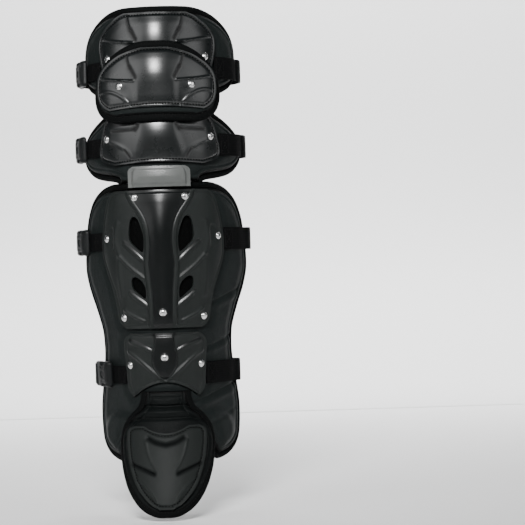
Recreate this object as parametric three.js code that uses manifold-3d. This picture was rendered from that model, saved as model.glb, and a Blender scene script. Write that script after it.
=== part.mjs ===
import * as THREE from "three";
import { mergeVertices } from "three/addons/utils/BufferGeometryUtils.js";
import Module from "manifold-3d";

const wasm = await Module();
wasm.setup();

// Catcher leg guard for one leg. Millimetres, +Z up the leg, the front faces -Y.
// The origin is the point of the shin pad's inner face that rests on the middle of the shin.

// The leg that the guard wraps
const CALF_RADIUS = 64;
const WRAP_DEGREES = 55; // from the front line to where the wings run on flat
const FRONT_BOW = 8; // how far the front line bows in side view
const SEAT_BELOW_SHIN_TOP = 79.2;
const BACK_CLEARANCE = 5; // between the back of the leg and the elastic loops

// Pads: cloth-covered foam walls
const SHIN_PAD_HEIGHT = 299;
const SHIN_PAD_WIDTH = 184;
const SHIN_PAD_WALL = 10;
const ANKLE_NOTCH = 52; // rise of the gap between the two ankle lobes
const LOWER_PAD_HEIGHT = 87;
const LOWER_PAD_WIDTH = 181;
const MIDDLE_PAD_HEIGHT = 77.5;
const MIDDLE_PAD_WIDTH = 136;
const MIDDLE_PAD_WALL = 10;
const MIDDLE_OVER_LOWER = 17; // the middle pad's reach in front of the lower pad
const UPPER_SHOWING = 41; // height of the upper pad above the middle pad
const UPPER_PAD_WIDTH = 174;
const KNEE_PAD_WALL = 12; // upper and lower pad
const FLAP_HEIGHT = 129;
const FLAP_WIDTH = 103;
const FLAP_WALL = 8;
const FLAP_REACH = 48; // how far the toe end stands forward of the ankle
const PLEAT_DEPTH = 2.4;
const RIM_WALL = 5.6; // wall of every pad at its bound edge

// Bindings: rolled tape round the pads' edges
const BINDING_WIDTH = 5.2;
const KNEE_BINDING_WIDTH = 7; // the thick roll of the middle pad
const BINDING_SIDES = 5;

// Shells: moulded plastic
const SHELL_WALL = 3;
const UPPER_CUP_HEIGHT = 70.4;
const UPPER_CUP_WIDTH = 130;
const MIDDLE_CUP_HEIGHT = 69.3;
const MIDDLE_CUP_WIDTH = 135;
const LOWER_CUP_HEIGHT = 57.2;
const LOWER_CUP_WIDTH = 134;
const CUP_RELIEF = 8; // height of the cups' centre swell
const EDGE_TUCK = 2; // how far the middle cup's edge turns in towards its pad
const CUP_ARCH = 4; // rise of the cups' lower edge at the centre
const SHIN_PLATE_HEIGHT = 153;
const SHIN_PLATE_WIDTH = 136;
const SHIN_RELIEF = 7; // height of the centre ridge
const ANKLE_PLATE_HEIGHT = 70.4;
const ANKLE_PLATE_WIDTH = 92;
const ANKLE_RELIEF = 4;
const ANKLE_ARCH = 16;
const TOE_CAP_HEIGHT = 87;
const TOE_CAP_WIDTH = 88;
const TOE_RELIEF = 4;
const TOE_DIP = 8; // hollow of the toe cap's upper edge
const TOE_MARGIN = 5; // from the toe cap's tip to the flap's edge
const NECK_GAP = 1.9; // where a pad's neck meets its neighbour
const PLATE_JOINT = 5.5; // between shin plate and ankle plate
const PLATE_MARGIN = 1.6; // from the shin pad's top edge to the plate
const BRIDGE_WIDTH = 69;
const BRIDGE_HEIGHT = 23;
const BRIDGE_WALL = 3.4;

// Rivets
const RIVET_RADIUS = 4.2;
const RIVET_HEIGHT = 2;
const RIVET_SIDES = 8;
const DOME_RADIUS = 4.8; // the two round-headed ones on the centre line
const DOME_HEIGHT = 3.4;

// Straps and buckles
const STRAP_WIDTH = 25;
const STRAP_WALL = 2;
const TAB_WIDTH = 20;
const TAB_LENGTH = 26;
const BUCKLE_WIDTH = 30;
const BUCKLE_WALL = 7;
const SOCKET_LENGTH = 30;
const BUCKLE_LIFT = 1.6; // of the stiff socket above the pad that curves under it
const PLUG_LENGTH = 20;

// Fits
const GAP = 0.3; // between pieces that touch
const SEAT_GAP = 0.55; // between a curved shell and its pad
const SHELL_CLEARANCE = 1.2; // between a shell's edge and the strap beside it

// Heights above the origin, each from its neighbour
const SHIN_TOP = SEAT_BELOW_SHIN_TOP;
const LOWER_TOP = SHIN_TOP + BINDING_WIDTH + GAP + NECK_GAP + LOWER_PAD_HEIGHT;
const UPPER_BOTTOM = LOWER_TOP + 2 * BINDING_WIDTH + 3 * GAP;
const MIDDLE_BOTTOM = LOWER_TOP - MIDDLE_OVER_LOWER;
const MIDDLE_TOP = MIDDLE_BOTTOM + MIDDLE_PAD_HEIGHT;
const UPPER_TOP = MIDDLE_TOP + UPPER_SHOWING;
const UPPER_PAD_HEIGHT = UPPER_TOP - UPPER_BOTTOM;
const UPPER_CUP_TOP = UPPER_TOP - 2 * GAP;
const MIDDLE_CUP_TOP = MIDDLE_TOP - 2 * GAP;
const LOWER_CUP_BOTTOM = SHIN_TOP + BRIDGE_HEIGHT + PLATE_MARGIN + 2 * GAP;
const LOWER_CUP_TOP = LOWER_CUP_BOTTOM + LOWER_CUP_HEIGHT;
const BRIDGE_TOP = LOWER_CUP_BOTTOM - 2 * GAP;

// Shares of the upper and lower cup's heights at which the middle pad starts to cover them
const UPPER_CUP_SHOWN = (UPPER_CUP_TOP - MIDDLE_TOP - KNEE_BINDING_WIDTH) / UPPER_CUP_HEIGHT;
const LOWER_CUP_HIDDEN = (LOWER_CUP_TOP - MIDDLE_BOTTOM + KNEE_BINDING_WIDTH) / LOWER_CUP_HEIGHT;
const SHIN_PLATE_TOP = SHIN_TOP - PLATE_MARGIN;
const ANKLE_PLATE_TOP = SHIN_PLATE_TOP - SHIN_PLATE_HEIGHT - PLATE_JOINT;
const ANKLE_PLATE_BOTTOM = ANKLE_PLATE_TOP - ANKLE_PLATE_HEIGHT;
const FLAP_TOP = ANKLE_PLATE_BOTTOM + ANKLE_ARCH / 2 - NECK_GAP;
const FLAP_BOTTOM = FLAP_TOP - FLAP_HEIGHT;
const TOE_CAP_TOP = FLAP_BOTTOM + TOE_MARGIN + TOE_CAP_HEIGHT;

// Depths above the leg: pads lie on it, shells lie on pads
const KNEE_SHELL_SEAT = KNEE_PAD_WALL + SEAT_GAP;
const MIDDLE_PAD_SEAT =
  KNEE_SHELL_SEAT + SHELL_WALL + SEAT_GAP + Math.max(0, KNEE_BINDING_WIDTH - RIM_WALL) / 2;
const MIDDLE_SHELL_SEAT = MIDDLE_PAD_SEAT + MIDDLE_PAD_WALL + SEAT_GAP;
const SHIN_SHELL_SEAT = SHIN_PAD_WALL + SEAT_GAP;
const FLAP_SEAT = SHIN_PAD_WALL + SEAT_GAP;
const TOE_SEAT = FLAP_SEAT + FLAP_WALL + SEAT_GAP;
const BRIDGE_SEAT = KNEE_PAD_WALL + SEAT_GAP;

const WRAP = THREE.MathUtils.degToRad(WRAP_DEGREES);

// down: share of the height from the knee's top to the toe; round: share of CALF_RADIUS;
// back: share of FRONT_BOW by which the front line lies behind the origin
const LEG_FORM = [
  { down: 0.0, round: 0.97, back: 0.9 },
  { down: 0.08, round: 0.98, back: 0.2 },
  { down: 0.16, round: 0.99, back: -0.5 },
  { down: 0.24, round: 0.98, back: -0.6 },
  { down: 0.34, round: 0.97, back: -0.2 },
  { down: 0.44, round: 1.0, back: 0.0 },
  { down: 0.53, round: 1.0, back: 0.05 },
  { down: 0.6, round: 0.9, back: 0.2 },
  { down: 0.67, round: 0.76, back: 0.5 },
  { down: 0.74, round: 0.67, back: 0.7 },
  { down: 0.82, round: 0.64, back: 0.7 },
  { down: 1.0, round: 0.68, back: 0.7 },
];

// Value of a table's column at a share of its first column, straight between rows
function read(table, key, at, column) {
  const last = table.length - 1;
  if (at <= table[0][key]) return table[0][column];
  if (at >= table[last][key]) return table[last][column];
  const i = table.findIndex((row) => row[key] > at);
  const a = table[i - 1];
  const b = table[i];
  const part = (at - a[key]) / (b[key] - a[key]);
  return a[column] + (b[column] - a[column]) * part;
}

// The leg's radius and front line at a height, smoothed over neighbouring rows
function legAt(z) {
  const down = (UPPER_TOP - z) / (UPPER_TOP - FLAP_BOTTOM);
  const near = [-0.03, -0.015, 0, 0.015, 0.03];
  const mean = (column) =>
    near.reduce((sum, step) => sum + read(LEG_FORM, "down", down + step, column), 0) / near.length;
  return { radius: CALF_RADIUS * mean("round"), front: FRONT_BOW * mean("back") };
}

const ZERO_FRONT = legAt(0).front;

// Point at arc length s round the leg, height z and depth above the leg
function onLeg(s, z, depth) {
  const { radius, front } = legAt(z);
  const turn = Math.min(Math.abs(s) / radius, WRAP);
  const flat = Math.max(0, Math.abs(s) - radius * WRAP);
  const reach = (radius + depth) * Math.sin(turn) + flat * Math.cos(WRAP);
  const back = radius - (radius + depth) * Math.cos(turn) + flat * Math.sin(WRAP);
  return new THREE.Vector3(Math.sign(s) * reach, front - ZERO_FRONT + back, z);
}

// Arc length whose point at this depth has the front-view coordinate x
function arcOf(x, z, depth) {
  const { radius } = legAt(z);
  const round = (radius + depth) * Math.sin(WRAP);
  const reach = Math.abs(x);
  const arc =
    reach <= round
      ? radius * Math.asin(reach / (radius + depth))
      : radius * WRAP + (reach - round) / Math.cos(WRAP);
  return Math.sign(x) * arc;
}

// Outward direction at arc length s
function outward(s, z) {
  const turn = Math.sign(s) * Math.min(Math.abs(s) / legAt(z).radius, WRAP);
  return new THREE.Vector3(Math.sin(turn), -Math.cos(turn), 0);
}

// How far the instep flap stands forward at a height
function flapForward(z) {
  const down = (FLAP_TOP - z) / FLAP_HEIGHT;
  return FLAP_REACH * Math.max(0, (down - 0.13) / (1 - 0.13));
}

// A panel is a table of rows down its height. Each row holds shares: at, of the height; lines,
// of the half width, from the centre line to the edge; lift, of the relief, on the same lines.
function valueAt(rows, at, column, k) {
  const last = rows.length - 1;
  let i = rows.findIndex((row) => row.at > at);
  if (i < 0) i = last;
  i = Math.max(i, 1);
  const a = rows[i - 1];
  const b = rows[i];
  const part = THREE.MathUtils.clamp((at - a.at) / (b.at - a.at), 0, 1);
  const k0 = Math.min(Math.floor(k), a[column].length - 2);
  const mix = (row) => row[column][k0] + (row[column][k0 + 1] - row[column][k0]) * (k - k0);
  return mix(a) + (mix(b) - mix(a)) * part;
}

// Line number, with its fraction, at which a row reaches a share of the half width
function lineOf(rows, at, share) {
  const count = rows[0].lines.length;
  for (let k = 1; k < count; k += 1) {
    const x0 = valueAt(rows, at, "lines", k - 1);
    const x1 = valueAt(rows, at, "lines", k);
    if (share <= x1) return k - 1 + (share - x0) / (x1 - x0);
  }
  return count - 1;
}

// Point of a panel: k is a signed line number, at the share of the height, out 0 for the inner
// face and 1 for the outer one, plus an extra depth
function panelPoint(panel, k, at, out, extra = 0) {
  const line = Math.abs(k);
  const share = valueAt(panel.rows, at, "lines", line);
  const lift = panel.relief * valueAt(panel.rows, at, "lift", line);
  const wall = panel.wallAt(line, at);
  const inner = panel.seat + (panel.followed ? Math.max(panel.sunk, lift) : 0);
  const depth = out ? panel.seat + wall + lift : inner;
  const z = panel.top - at * panel.height + panel.arch(share, at);
  const s = arcOf(Math.sign(k) * share * panel.half, z, panel.seat + panel.wall);
  const point = onLeg(s, z, depth + extra);
  point.y -= panel.forward(z);
  return point;
}

function makePanel(spec) {
  return {
    relief: 0,
    followed: true,
    sunk: 0,
    arch: () => 0,
    forward: () => 0,
    wallAt: () => spec.wall,
    ...spec,
  };
}

// Rows of a pad: its lines are fixed shares of each row's own half width
const PAD_LINES = [0, 0.32, 0.6, 0.8, 0.93, 1];
const PAD_FILL = [1, 1, 1, 1, 0.84, 0]; // wall above the rim's, on the same lines

function padRows(outline) {
  return outline.map(({ at, half, swell = 0 }) => ({
    at,
    lines: PAD_LINES.map((share) => share * half),
    lift: [0, 0, 0, swell, swell * 0.8, 0],
  }));
}

// A pad's wall falls to the rim's wall at the sides and at both ends
function padWall(wall, endShare) {
  return (line, at) => {
    const k = Math.min(Math.floor(line), PAD_FILL.length - 2);
    const side = PAD_FILL[k] + (PAD_FILL[k + 1] - PAD_FILL[k]) * (line - k);
    const end = Math.min(at, 1 - at) / endShare;
    const near = Math.sqrt(THREE.MathUtils.clamp(end, 0, 1));
    return RIM_WALL + (wall - RIM_WALL) * side * near;
  };
}

// Closed solid between the inner and outer faces of a panel
function panelGeometry(panel) {
  const lines = panel.rows[0].lines.length - 1;
  const across = 2 * lines + 1;
  const down = panel.rows.length;
  const points = [];
  for (const out of [1, 0])
    for (const row of panel.rows)
      for (let i = 0; i < across; i += 1) points.push(panelPoint(panel, i - lines, row.at, out));
  const faces = [];
  const node = (i, j, inner) => inner * across * down + j * across + i;
  for (let j = 0; j < down - 1; j += 1)
    for (let i = 0; i < across - 1; i += 1) {
      const [a, b, c, d] = [node(i, j, 0), node(i + 1, j, 0), node(i + 1, j + 1, 0), node(i, j + 1, 0)];
      const deep = across * down;
      if (i < lines) {
        faces.push([a, d, b], [b, d, c]);
        faces.push([a + deep, b + deep, d + deep], [b + deep, c + deep, d + deep]);
      } else {
        faces.push([a, d, c], [a, c, b]);
        faces.push([a + deep, c + deep, d + deep], [a + deep, b + deep, c + deep]);
      }
    }
  const edge = edgeOf(across, down).map(([i, j]) => [node(i, j, 0), node(i, j, 1)]);
  edge.forEach(([o, n], i) => {
    const [o2, n2] = edge[(i + 1) % edge.length];
    faces.push([o, o2, n], [o2, n2, n]);
  });
  return geometryOf(points, faces);
}

// Clockwise walk round a grid of points as seen from the front
function edgeOf(across, down) {
  const walk = [];
  for (let i = 0; i < across; i += 1) walk.push([i, 0]);
  for (let j = 1; j < down; j += 1) walk.push([across - 1, j]);
  for (let i = across - 2; i >= 0; i -= 1) walk.push([i, down - 1]);
  for (let j = down - 2; j >= 1; j -= 1) walk.push([0, j]);
  return walk;
}

function geometryOf(points, faces) {
  const geometry = new THREE.BufferGeometry();
  geometry.setAttribute(
    "position",
    new THREE.BufferAttribute(new Float32Array(points.flatMap((p) => [p.x, p.y, p.z])), 3),
  );
  geometry.setIndex(faces.flat());
  return geometry;
}

// Closed solid through rings of points, turned so that its faces look out
function loft(rings) {
  const count = rings[0].length;
  const points = rings.flat();
  const faces = [];
  for (let r = 0; r < rings.length - 1; r += 1)
    for (let i = 0; i < count; i += 1) {
      const a = r * count + i;
      const b = r * count + ((i + 1) % count);
      faces.push([a, b, b + count], [a, b + count, a + count]);
    }
  const end = (rings.length - 1) * count;
  for (let i = 1; i < count - 1; i += 1) {
    faces.push([0, i + 1, i]);
    faces.push([end, end + i, end + i + 1]);
  }
  return faceOut(points, faces);
}

// Ring-shaped solid: the last ring joins the first
function loop(rings) {
  const count = rings[0].length;
  const points = rings.flat();
  const faces = [];
  rings.forEach((ring, r) => {
    const next = ((r + 1) % rings.length) * count;
    ring.forEach((point, i) => {
      const j = (i + 1) % count;
      faces.push([r * count + i, r * count + j, next + j], [r * count + i, next + j, next + i]);
    });
  });
  return faceOut(points, faces);
}

function faceOut(points, faces) {
  const volume = faces.reduce(
    (sum, [a, b, c]) => sum + points[a].dot(new THREE.Vector3().crossVectors(points[b], points[c])),
    0,
  );
  return geometryOf(points, volume < 0 ? faces.map(([a, b, c]) => [a, c, b]) : faces);
}

// Tape rolled round a pad's edge; an open one leaves out the pad's side that joins a neighbour
function bindingGeometry(panel, width, leftOut) {
  const lines = panel.rows[0].lines.length - 1;
  const across = 2 * lines + 1;
  const down = panel.rows.length;
  const walk = edgeOf(across, down);
  const middle = walk.map(([i, j]) => {
    const at = panel.rows[j].at;
    const inner = panelPoint(panel, i - lines, at, 0);
    return inner.add(panelPoint(panel, i - lines, at, 1)).multiplyScalar(0.5);
  });
  const count = walk.length;
  const kept = walk.map((cell, n) => n).filter((n) => {
    const [i, j] = walk[n];
    if (leftOut === "bottom") return j < down - 1 || i === 0 || i === across - 1;
    if (leftOut === "top") return j > 0 || i === 0 || i === across - 1;
    return true;
  });
  const corner = leftOut === "bottom" ? [0, down - 1] : [across - 1, 0];
  const atCorner = kept.findIndex((n) => walk[n][0] === corner[0] && walk[n][1] === corner[1]);
  const first = leftOut === undefined ? 0 : atCorner;
  const order = kept.map((n, i) => kept[(first + i) % kept.length]);
  const half = width / 2;
  const rings = order.map((n, i) => {
    const open = leftOut !== undefined;
    const before = open && i === 0 ? middle[n] : middle[order[(i - 1 + order.length) % order.length]];
    const after = open && i === order.length - 1 ? middle[n] : middle[order[(i + 1) % order.length]];
    const here = middle[n];
    const into = here.clone().sub(before).normalize();
    const out = after.clone().sub(here).normalize();
    const along = into.clone().add(out).normalize();
    const cell = walk[n];
    const inner = panelPoint(panel, cell[0] - lines, panel.rows[cell[1]].at, 0);
    const outer = panelPoint(panel, cell[0] - lines, panel.rows[cell[1]].at, 1);
    const normal = outer.sub(inner).normalize();
    const side = new THREE.Vector3().crossVectors(normal, along).normalize();
    const bend = into.lengthSq() && out.lengthSq() ? Math.max(0.72, along.dot(into)) : 1;
    const centre = here.clone().addScaledVector(side, (half + GAP) / bend);
    return Array.from({ length: BINDING_SIDES }, (unused, k) => {
      const angle = (2 * Math.PI * k) / BINDING_SIDES;
      const point = centre.clone().addScaledVector(side, half * Math.cos(angle));
      return point.addScaledVector(normal, half * Math.sin(angle));
    });
  });
  return leftOut === undefined ? loop(rings) : loft(rings);
}

// Manifold solid of a geometry, and back
function solidOf(geometry) {
  const plain = geometry.index ? geometry.toNonIndexed() : geometry.clone();
  const bare = new THREE.BufferGeometry();
  bare.setAttribute("position", plain.getAttribute("position"));
  const merged = mergeVertices(bare, 1e-4);
  return new wasm.Manifold(
    new wasm.Mesh({
      numProp: 3,
      vertProperties: merged.attributes.position.array,
      triVerts: new Uint32Array(merged.index.array),
    }),
  );
}

function geometryFrom(solid) {
  const mesh = solid.getMesh();
  const geometry = new THREE.BufferGeometry();
  const position = new Float32Array(mesh.numVert * 3);
  for (let i = 0; i < mesh.numVert; i += 1)
    position.set(mesh.vertProperties.subarray(i * mesh.numProp, i * mesh.numProp + 3), i * 3);
  geometry.setAttribute("position", new THREE.BufferAttribute(position, 3));
  geometry.setIndex(new THREE.BufferAttribute(mesh.triVerts, 1));
  return geometry;
}

// Upper pad: wing above the knee
const UPPER_PAD = makePanel({
  top: UPPER_TOP,
  height: UPPER_PAD_HEIGHT,
  half: UPPER_PAD_WIDTH / 2,
  seat: 0,
  wall: KNEE_PAD_WALL,
  wallAt: padWall(KNEE_PAD_WALL, 0.12),
  rows: padRows([
    { at: 0.0, half: 0.49 },
    { at: 0.03, half: 0.65 },
    { at: 0.08, half: 0.77 },
    { at: 0.16, half: 0.87 },
    { at: 0.27, half: 0.95 },
    { at: 0.4, half: 0.99 },
    { at: 0.55, half: 1.0 },
    { at: 0.7, half: 1.0 },
    { at: 0.82, half: 0.96 },
    { at: 0.9, half: 0.86 },
    { at: 0.96, half: 0.72 },
    { at: 1.0, half: 0.56 },
  ]),
});

const UPPER_CUP = makePanel({
  top: UPPER_CUP_TOP,
  height: UPPER_CUP_HEIGHT,
  half: UPPER_CUP_WIDTH / 2,
  seat: KNEE_SHELL_SEAT,
  wall: SHELL_WALL,
  relief: CUP_RELIEF,
  rows: [
    { shown: 0.0, lines: [0, 0.2, 0.34, 0.39, 0.45, 0.5, 0.53], lift: [0.25, 0.22, 0.15, 0, 0.1, 0.12, 0] },
    { shown: 0.1, lines: [0, 0.22, 0.4, 0.45, 0.55, 0.62, 0.66], lift: [0.5, 0.45, 0.32, 0.02, 0.18, 0.14, 0] },
    { shown: 0.23, lines: [0, 0.24, 0.45, 0.5, 0.6, 0.7, 0.75], lift: [0.85, 0.8, 0.6, 0.04, 0.26, 0.16, 0] },
    { shown: 0.42, lines: [0, 0.24, 0.43, 0.48, 0.66, 0.82, 0.87], lift: [1, 0.94, 0.72, 0.04, 0.32, 0.16, 0] },
    { shown: 0.79, lines: [0, 0.2, 0.36, 0.41, 0.7, 0.94, 0.99], lift: [0.66, 0.6, 0.46, -0.06, 0.34, 0.16, 0] },
    { shown: 1.0, lines: [0, 0.18, 0.34, 0.42, 0.68, 0.9, 1], lift: [0, 0, 0, -0.08, 0, 0, 0] },
    { hidden: 0.1, lines: [0, 0.17, 0.34, 0.5, 0.68, 0.86, 1], lift: [0, 0, 0, 0, 0, 0, 0] },
    { hidden: 0.52, lines: [0, 0.17, 0.34, 0.5, 0.67, 0.83, 0.97], lift: [0, 0, 0, 0, 0, 0, 0] },
    { hidden: 1.0, lines: [0, 0.15, 0.3, 0.45, 0.6, 0.75, 0.88], lift: [0, 0, 0, 0, 0, 0, 0] },
  ].map(({ shown = 1, hidden = 0, ...row }) => ({
    at: UPPER_CUP_SHOWN * shown + (1 - UPPER_CUP_SHOWN) * hidden,
    ...row,
  })),
});

// Middle pad: in front of its neighbours, over the kneecap
const MIDDLE_PAD = makePanel({
  top: MIDDLE_TOP,
  height: MIDDLE_PAD_HEIGHT,
  half: MIDDLE_PAD_WIDTH / 2,
  seat: MIDDLE_PAD_SEAT,
  wall: MIDDLE_PAD_WALL,
  wallAt: padWall(MIDDLE_PAD_WALL, 0.1),
  arch: (share, at) => CUP_ARCH * 0.7 * (1 - share * share) * Math.max(0, (at - 0.7) / 0.3),
  rows: padRows([
    { at: 0.0, half: 0.22 },
    { at: 0.03, half: 0.38 },
    { at: 0.08, half: 0.53 },
    { at: 0.16, half: 0.69 },
    { at: 0.27, half: 0.83 },
    { at: 0.4, half: 0.93 },
    { at: 0.55, half: 0.99 },
    { at: 0.7, half: 1.0 },
    { at: 0.83, half: 0.96 },
    { at: 0.93, half: 0.86 },
    { at: 1.0, half: 0.68 },
  ]),
});

const MIDDLE_CUP = makePanel({
  top: MIDDLE_CUP_TOP,
  height: MIDDLE_CUP_HEIGHT,
  half: MIDDLE_CUP_WIDTH / 2,
  seat: MIDDLE_SHELL_SEAT,
  wall: SHELL_WALL,
  relief: CUP_RELIEF,
  sunk: -EDGE_TUCK,
  arch: (share, at) => CUP_ARCH * (1 - share * share) * Math.max(0, (at - 0.6) / 0.4),
  rows: [
    { at: 0.0, lines: [0, 0.08, 0.14, 0.16, 0.18, 0.2, 0.22], lift: [-0.1, -0.1, -0.14, -0.18, -0.2, -0.22, -0.25] },
    { at: 0.035, lines: [0, 0.14, 0.25, 0.28, 0.31, 0.35, 0.38], lift: [0.6, 0.56, 0.44, 0.2, 0.2, 0.12, -0.25] },
    { at: 0.1, lines: [0, 0.22, 0.41, 0.45, 0.5, 0.55, 0.59], lift: [0.95, 0.9, 0.72, 0.3, 0.28, 0.16, -0.25] },
    { at: 0.19, lines: [0, 0.24, 0.44, 0.49, 0.59, 0.7, 0.75], lift: [1.15, 1.05, 0.82, 0.2, 0.34, 0.2, -0.25] },
    { at: 0.29, lines: [0, 0.22, 0.39, 0.45, 0.64, 0.83, 0.88], lift: [1.1, 1, 0.76, 0.08, 0.38, 0.22, -0.25] },
    { at: 0.4, lines: [0, 0.19, 0.34, 0.4, 0.66, 0.91, 0.96], lift: [0.9, 0.82, 0.6, 0.02, 0.44, 0.26, -0.25] },
    { at: 0.5, lines: [0, 0.17, 0.3, 0.36, 0.66, 0.94, 0.99], lift: [0.66, 0.62, 0.56, 0.46, 0.6, 0.34, -0.25] },
    { at: 0.66, lines: [0, 0.16, 0.3, 0.4, 0.68, 0.95, 1.0], lift: [0.56, 0.55, 0.52, 0.42, 0.3, 0.22, -0.2] },
    { at: 0.82, lines: [0, 0.18, 0.34, 0.5, 0.7, 0.92, 0.97], lift: [0.4, 0.4, 0.38, 0.24, 0.16, 0.12, -0.1] },
    { at: 0.93, lines: [0, 0.2, 0.38, 0.54, 0.7, 0.84, 0.89], lift: [0.28, 0.28, 0.28, 0.14, 0.1, 0.08, 0] },
    { at: 1.0, lines: [0, 0.2, 0.38, 0.52, 0.64, 0.74, 0.79], lift: [0.16, 0.16, 0.16, 0.06, 0.04, 0.02, 0] },
  ],
});

// Lower pad: wings below the knee and the neck that joins the shin pad
const LOWER_PAD = makePanel({
  top: LOWER_TOP,
  height: LOWER_PAD_HEIGHT,
  half: LOWER_PAD_WIDTH / 2,
  seat: 0,
  wall: KNEE_PAD_WALL,
  wallAt: padWall(KNEE_PAD_WALL, 0.1),
  rows: padRows([
    { at: 0.0, half: 0.52 },
    { at: 0.07, half: 0.58 },
    { at: 0.15, half: 0.66 },
    { at: 0.22, half: 0.755 },
    { at: 0.32, half: 0.875 },
    { at: 0.42, half: 0.955 },
    { at: 0.53, half: 1.0 },
    { at: 0.66, half: 1.0 },
    { at: 0.76, half: 0.955 },
    { at: 0.83, half: 0.88 },
    { at: 0.87, half: 0.76 },
    { at: 0.9, half: 0.61 },
    { at: 0.94, half: 0.52 },
    { at: 1.0, half: 0.5 },
  ]),
});

const LOWER_CUP = makePanel({
  top: LOWER_CUP_TOP,
  height: LOWER_CUP_HEIGHT,
  half: LOWER_CUP_WIDTH / 2,
  seat: KNEE_SHELL_SEAT,
  wall: SHELL_WALL,
  relief: CUP_RELIEF,
  arch: (share, at) => CUP_ARCH * (1 - share * share) * Math.max(0, (at - 0.5) / 0.5),
  rows: [
    { hidden: 0.0, lines: [0, 0.13, 0.26, 0.39, 0.52, 0.65, 0.78], lift: [0, 0, 0, 0, 0, 0, 0] },
    { hidden: 0.6, lines: [0, 0.15, 0.3, 0.45, 0.6, 0.75, 0.89], lift: [0, 0, 0, 0, 0, 0, 0] },
    { hidden: 1.0, lines: [0, 0.16, 0.31, 0.45, 0.62, 0.8, 0.92], lift: [0, 0, 0, 0, 0, 0, 0] },
    { shown: 0.08, lines: [0, 0.17, 0.31, 0.37, 0.64, 0.88, 0.94], lift: [0.16, 0.16, 0.12, -0.12, -0.12, 0.1, 0] },
    { shown: 0.17, lines: [0, 0.18, 0.33, 0.4, 0.66, 0.9, 0.95], lift: [0.26, 0.26, 0.26, 0.26, 0.3, 0.16, 0] },
    { shown: 0.34, lines: [0, 0.22, 0.42, 0.54, 0.72, 0.92, 0.97], lift: [0.34, 0.34, 0.34, 0.34, 0.3, 0.18, 0] },
    { shown: 0.5, lines: [0, 0.24, 0.46, 0.6, 0.76, 0.94, 0.99], lift: [0.38, 0.38, 0.37, 0.34, 0.1, 0.12, 0] },
    { shown: 0.66, lines: [0, 0.22, 0.42, 0.5, 0.72, 0.95, 1], lift: [0.36, 0.36, 0.35, 0.1, 0.14, 0.12, 0] },
    { shown: 0.82, lines: [0, 0.2, 0.38, 0.45, 0.66, 0.91, 0.96], lift: [0.28, 0.28, 0.27, 0.06, 0.1, 0.08, 0] },
    { shown: 1.0, lines: [0, 0.2, 0.36, 0.42, 0.56, 0.7, 0.74], lift: [0.1, 0.1, 0.1, 0.02, 0.02, 0.02, 0] },
  ].map(({ hidden = 1, shown = 0, ...row }) => ({
    at: LOWER_CUP_HIDDEN * hidden + (1 - LOWER_CUP_HIDDEN) * shown,
    ...row,
  })),
});

// Bridge: smooth panel over the joint of lower pad and shin pad
const BRIDGE = makePanel({
  top: BRIDGE_TOP,
  height: BRIDGE_HEIGHT,
  half: BRIDGE_WIDTH / 2,
  seat: BRIDGE_SEAT,
  wall: BRIDGE_WALL,
  relief: 1.6,
  rows: [
    { at: 0.0, lines: [0, 0.4, 0.68, 0.76, 0.84], lift: [0, 0, 0, 0, -0.6] },
    { at: 0.1, lines: [0, 0.4, 0.74, 0.84, 0.95], lift: [0.2, 0.2, 0.2, 0.1, -0.6] },
    { at: 0.24, lines: [0, 0.4, 0.76, 0.88, 1.0], lift: [1, 1, 1, 0.2, -0.6] },
    { at: 0.85, lines: [0, 0.4, 0.76, 0.88, 1.0], lift: [1, 1, 1, 0.2, -0.6] },
    { at: 1.0, lines: [0, 0.4, 0.76, 0.88, 1.0], lift: [0, 0, 0, 0, -0.6] },
  ],
});

// Shin pad: wings round the calf and two lobes over the ankle bones
const LOBE_SHARE = 0.62; // share of the half width at which the notch between the lobes ends
const SHIN_PAD = makePanel({
  top: SHIN_TOP,
  height: SHIN_PAD_HEIGHT,
  half: SHIN_PAD_WIDTH / 2,
  seat: 0,
  wall: SHIN_PAD_WALL,
  wallAt: padWall(SHIN_PAD_WALL, 0.035),
  relief: 4,
  followed: false,
  arch: (share, at) => {
    const inside = Math.max(0, 1 - (share / LOBE_SHARE) ** 2);
    return ANKLE_NOTCH * inside * Math.max(0, (at - 0.72) / 0.28) ** 1.5;
  },
  rows: padRows([
    { at: 0.0, half: 0.64 },
    { at: 0.01, half: 0.74 },
    { at: 0.024, half: 0.81 },
    { at: 0.06, half: 0.895 },
    { at: 0.12, half: 0.955 },
    { at: 0.17, half: 0.975 },
    { at: 0.23, half: 0.995 },
    { at: 0.285, half: 1.0 },
    { at: 0.36, half: 0.955 },
    { at: 0.42, half: 0.89 },
    { at: 0.47, half: 0.84 },
    { at: 0.53, half: 0.795 },
    { at: 0.6, half: 0.785 },
    { at: 0.68, half: 0.805 },
    { at: 0.76, half: 0.84 },
    { at: 0.83, half: 0.86, swell: 0.3 },
    { at: 0.88, half: 0.857, swell: 1 },
    { at: 0.93, half: 0.845, swell: 1 },
    { at: 0.96, half: 0.81, swell: 0.5 },
    { at: 0.985, half: 0.74, swell: 0.1 },
    { at: 1.0, half: 0.62 },
  ]),
});

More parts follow.
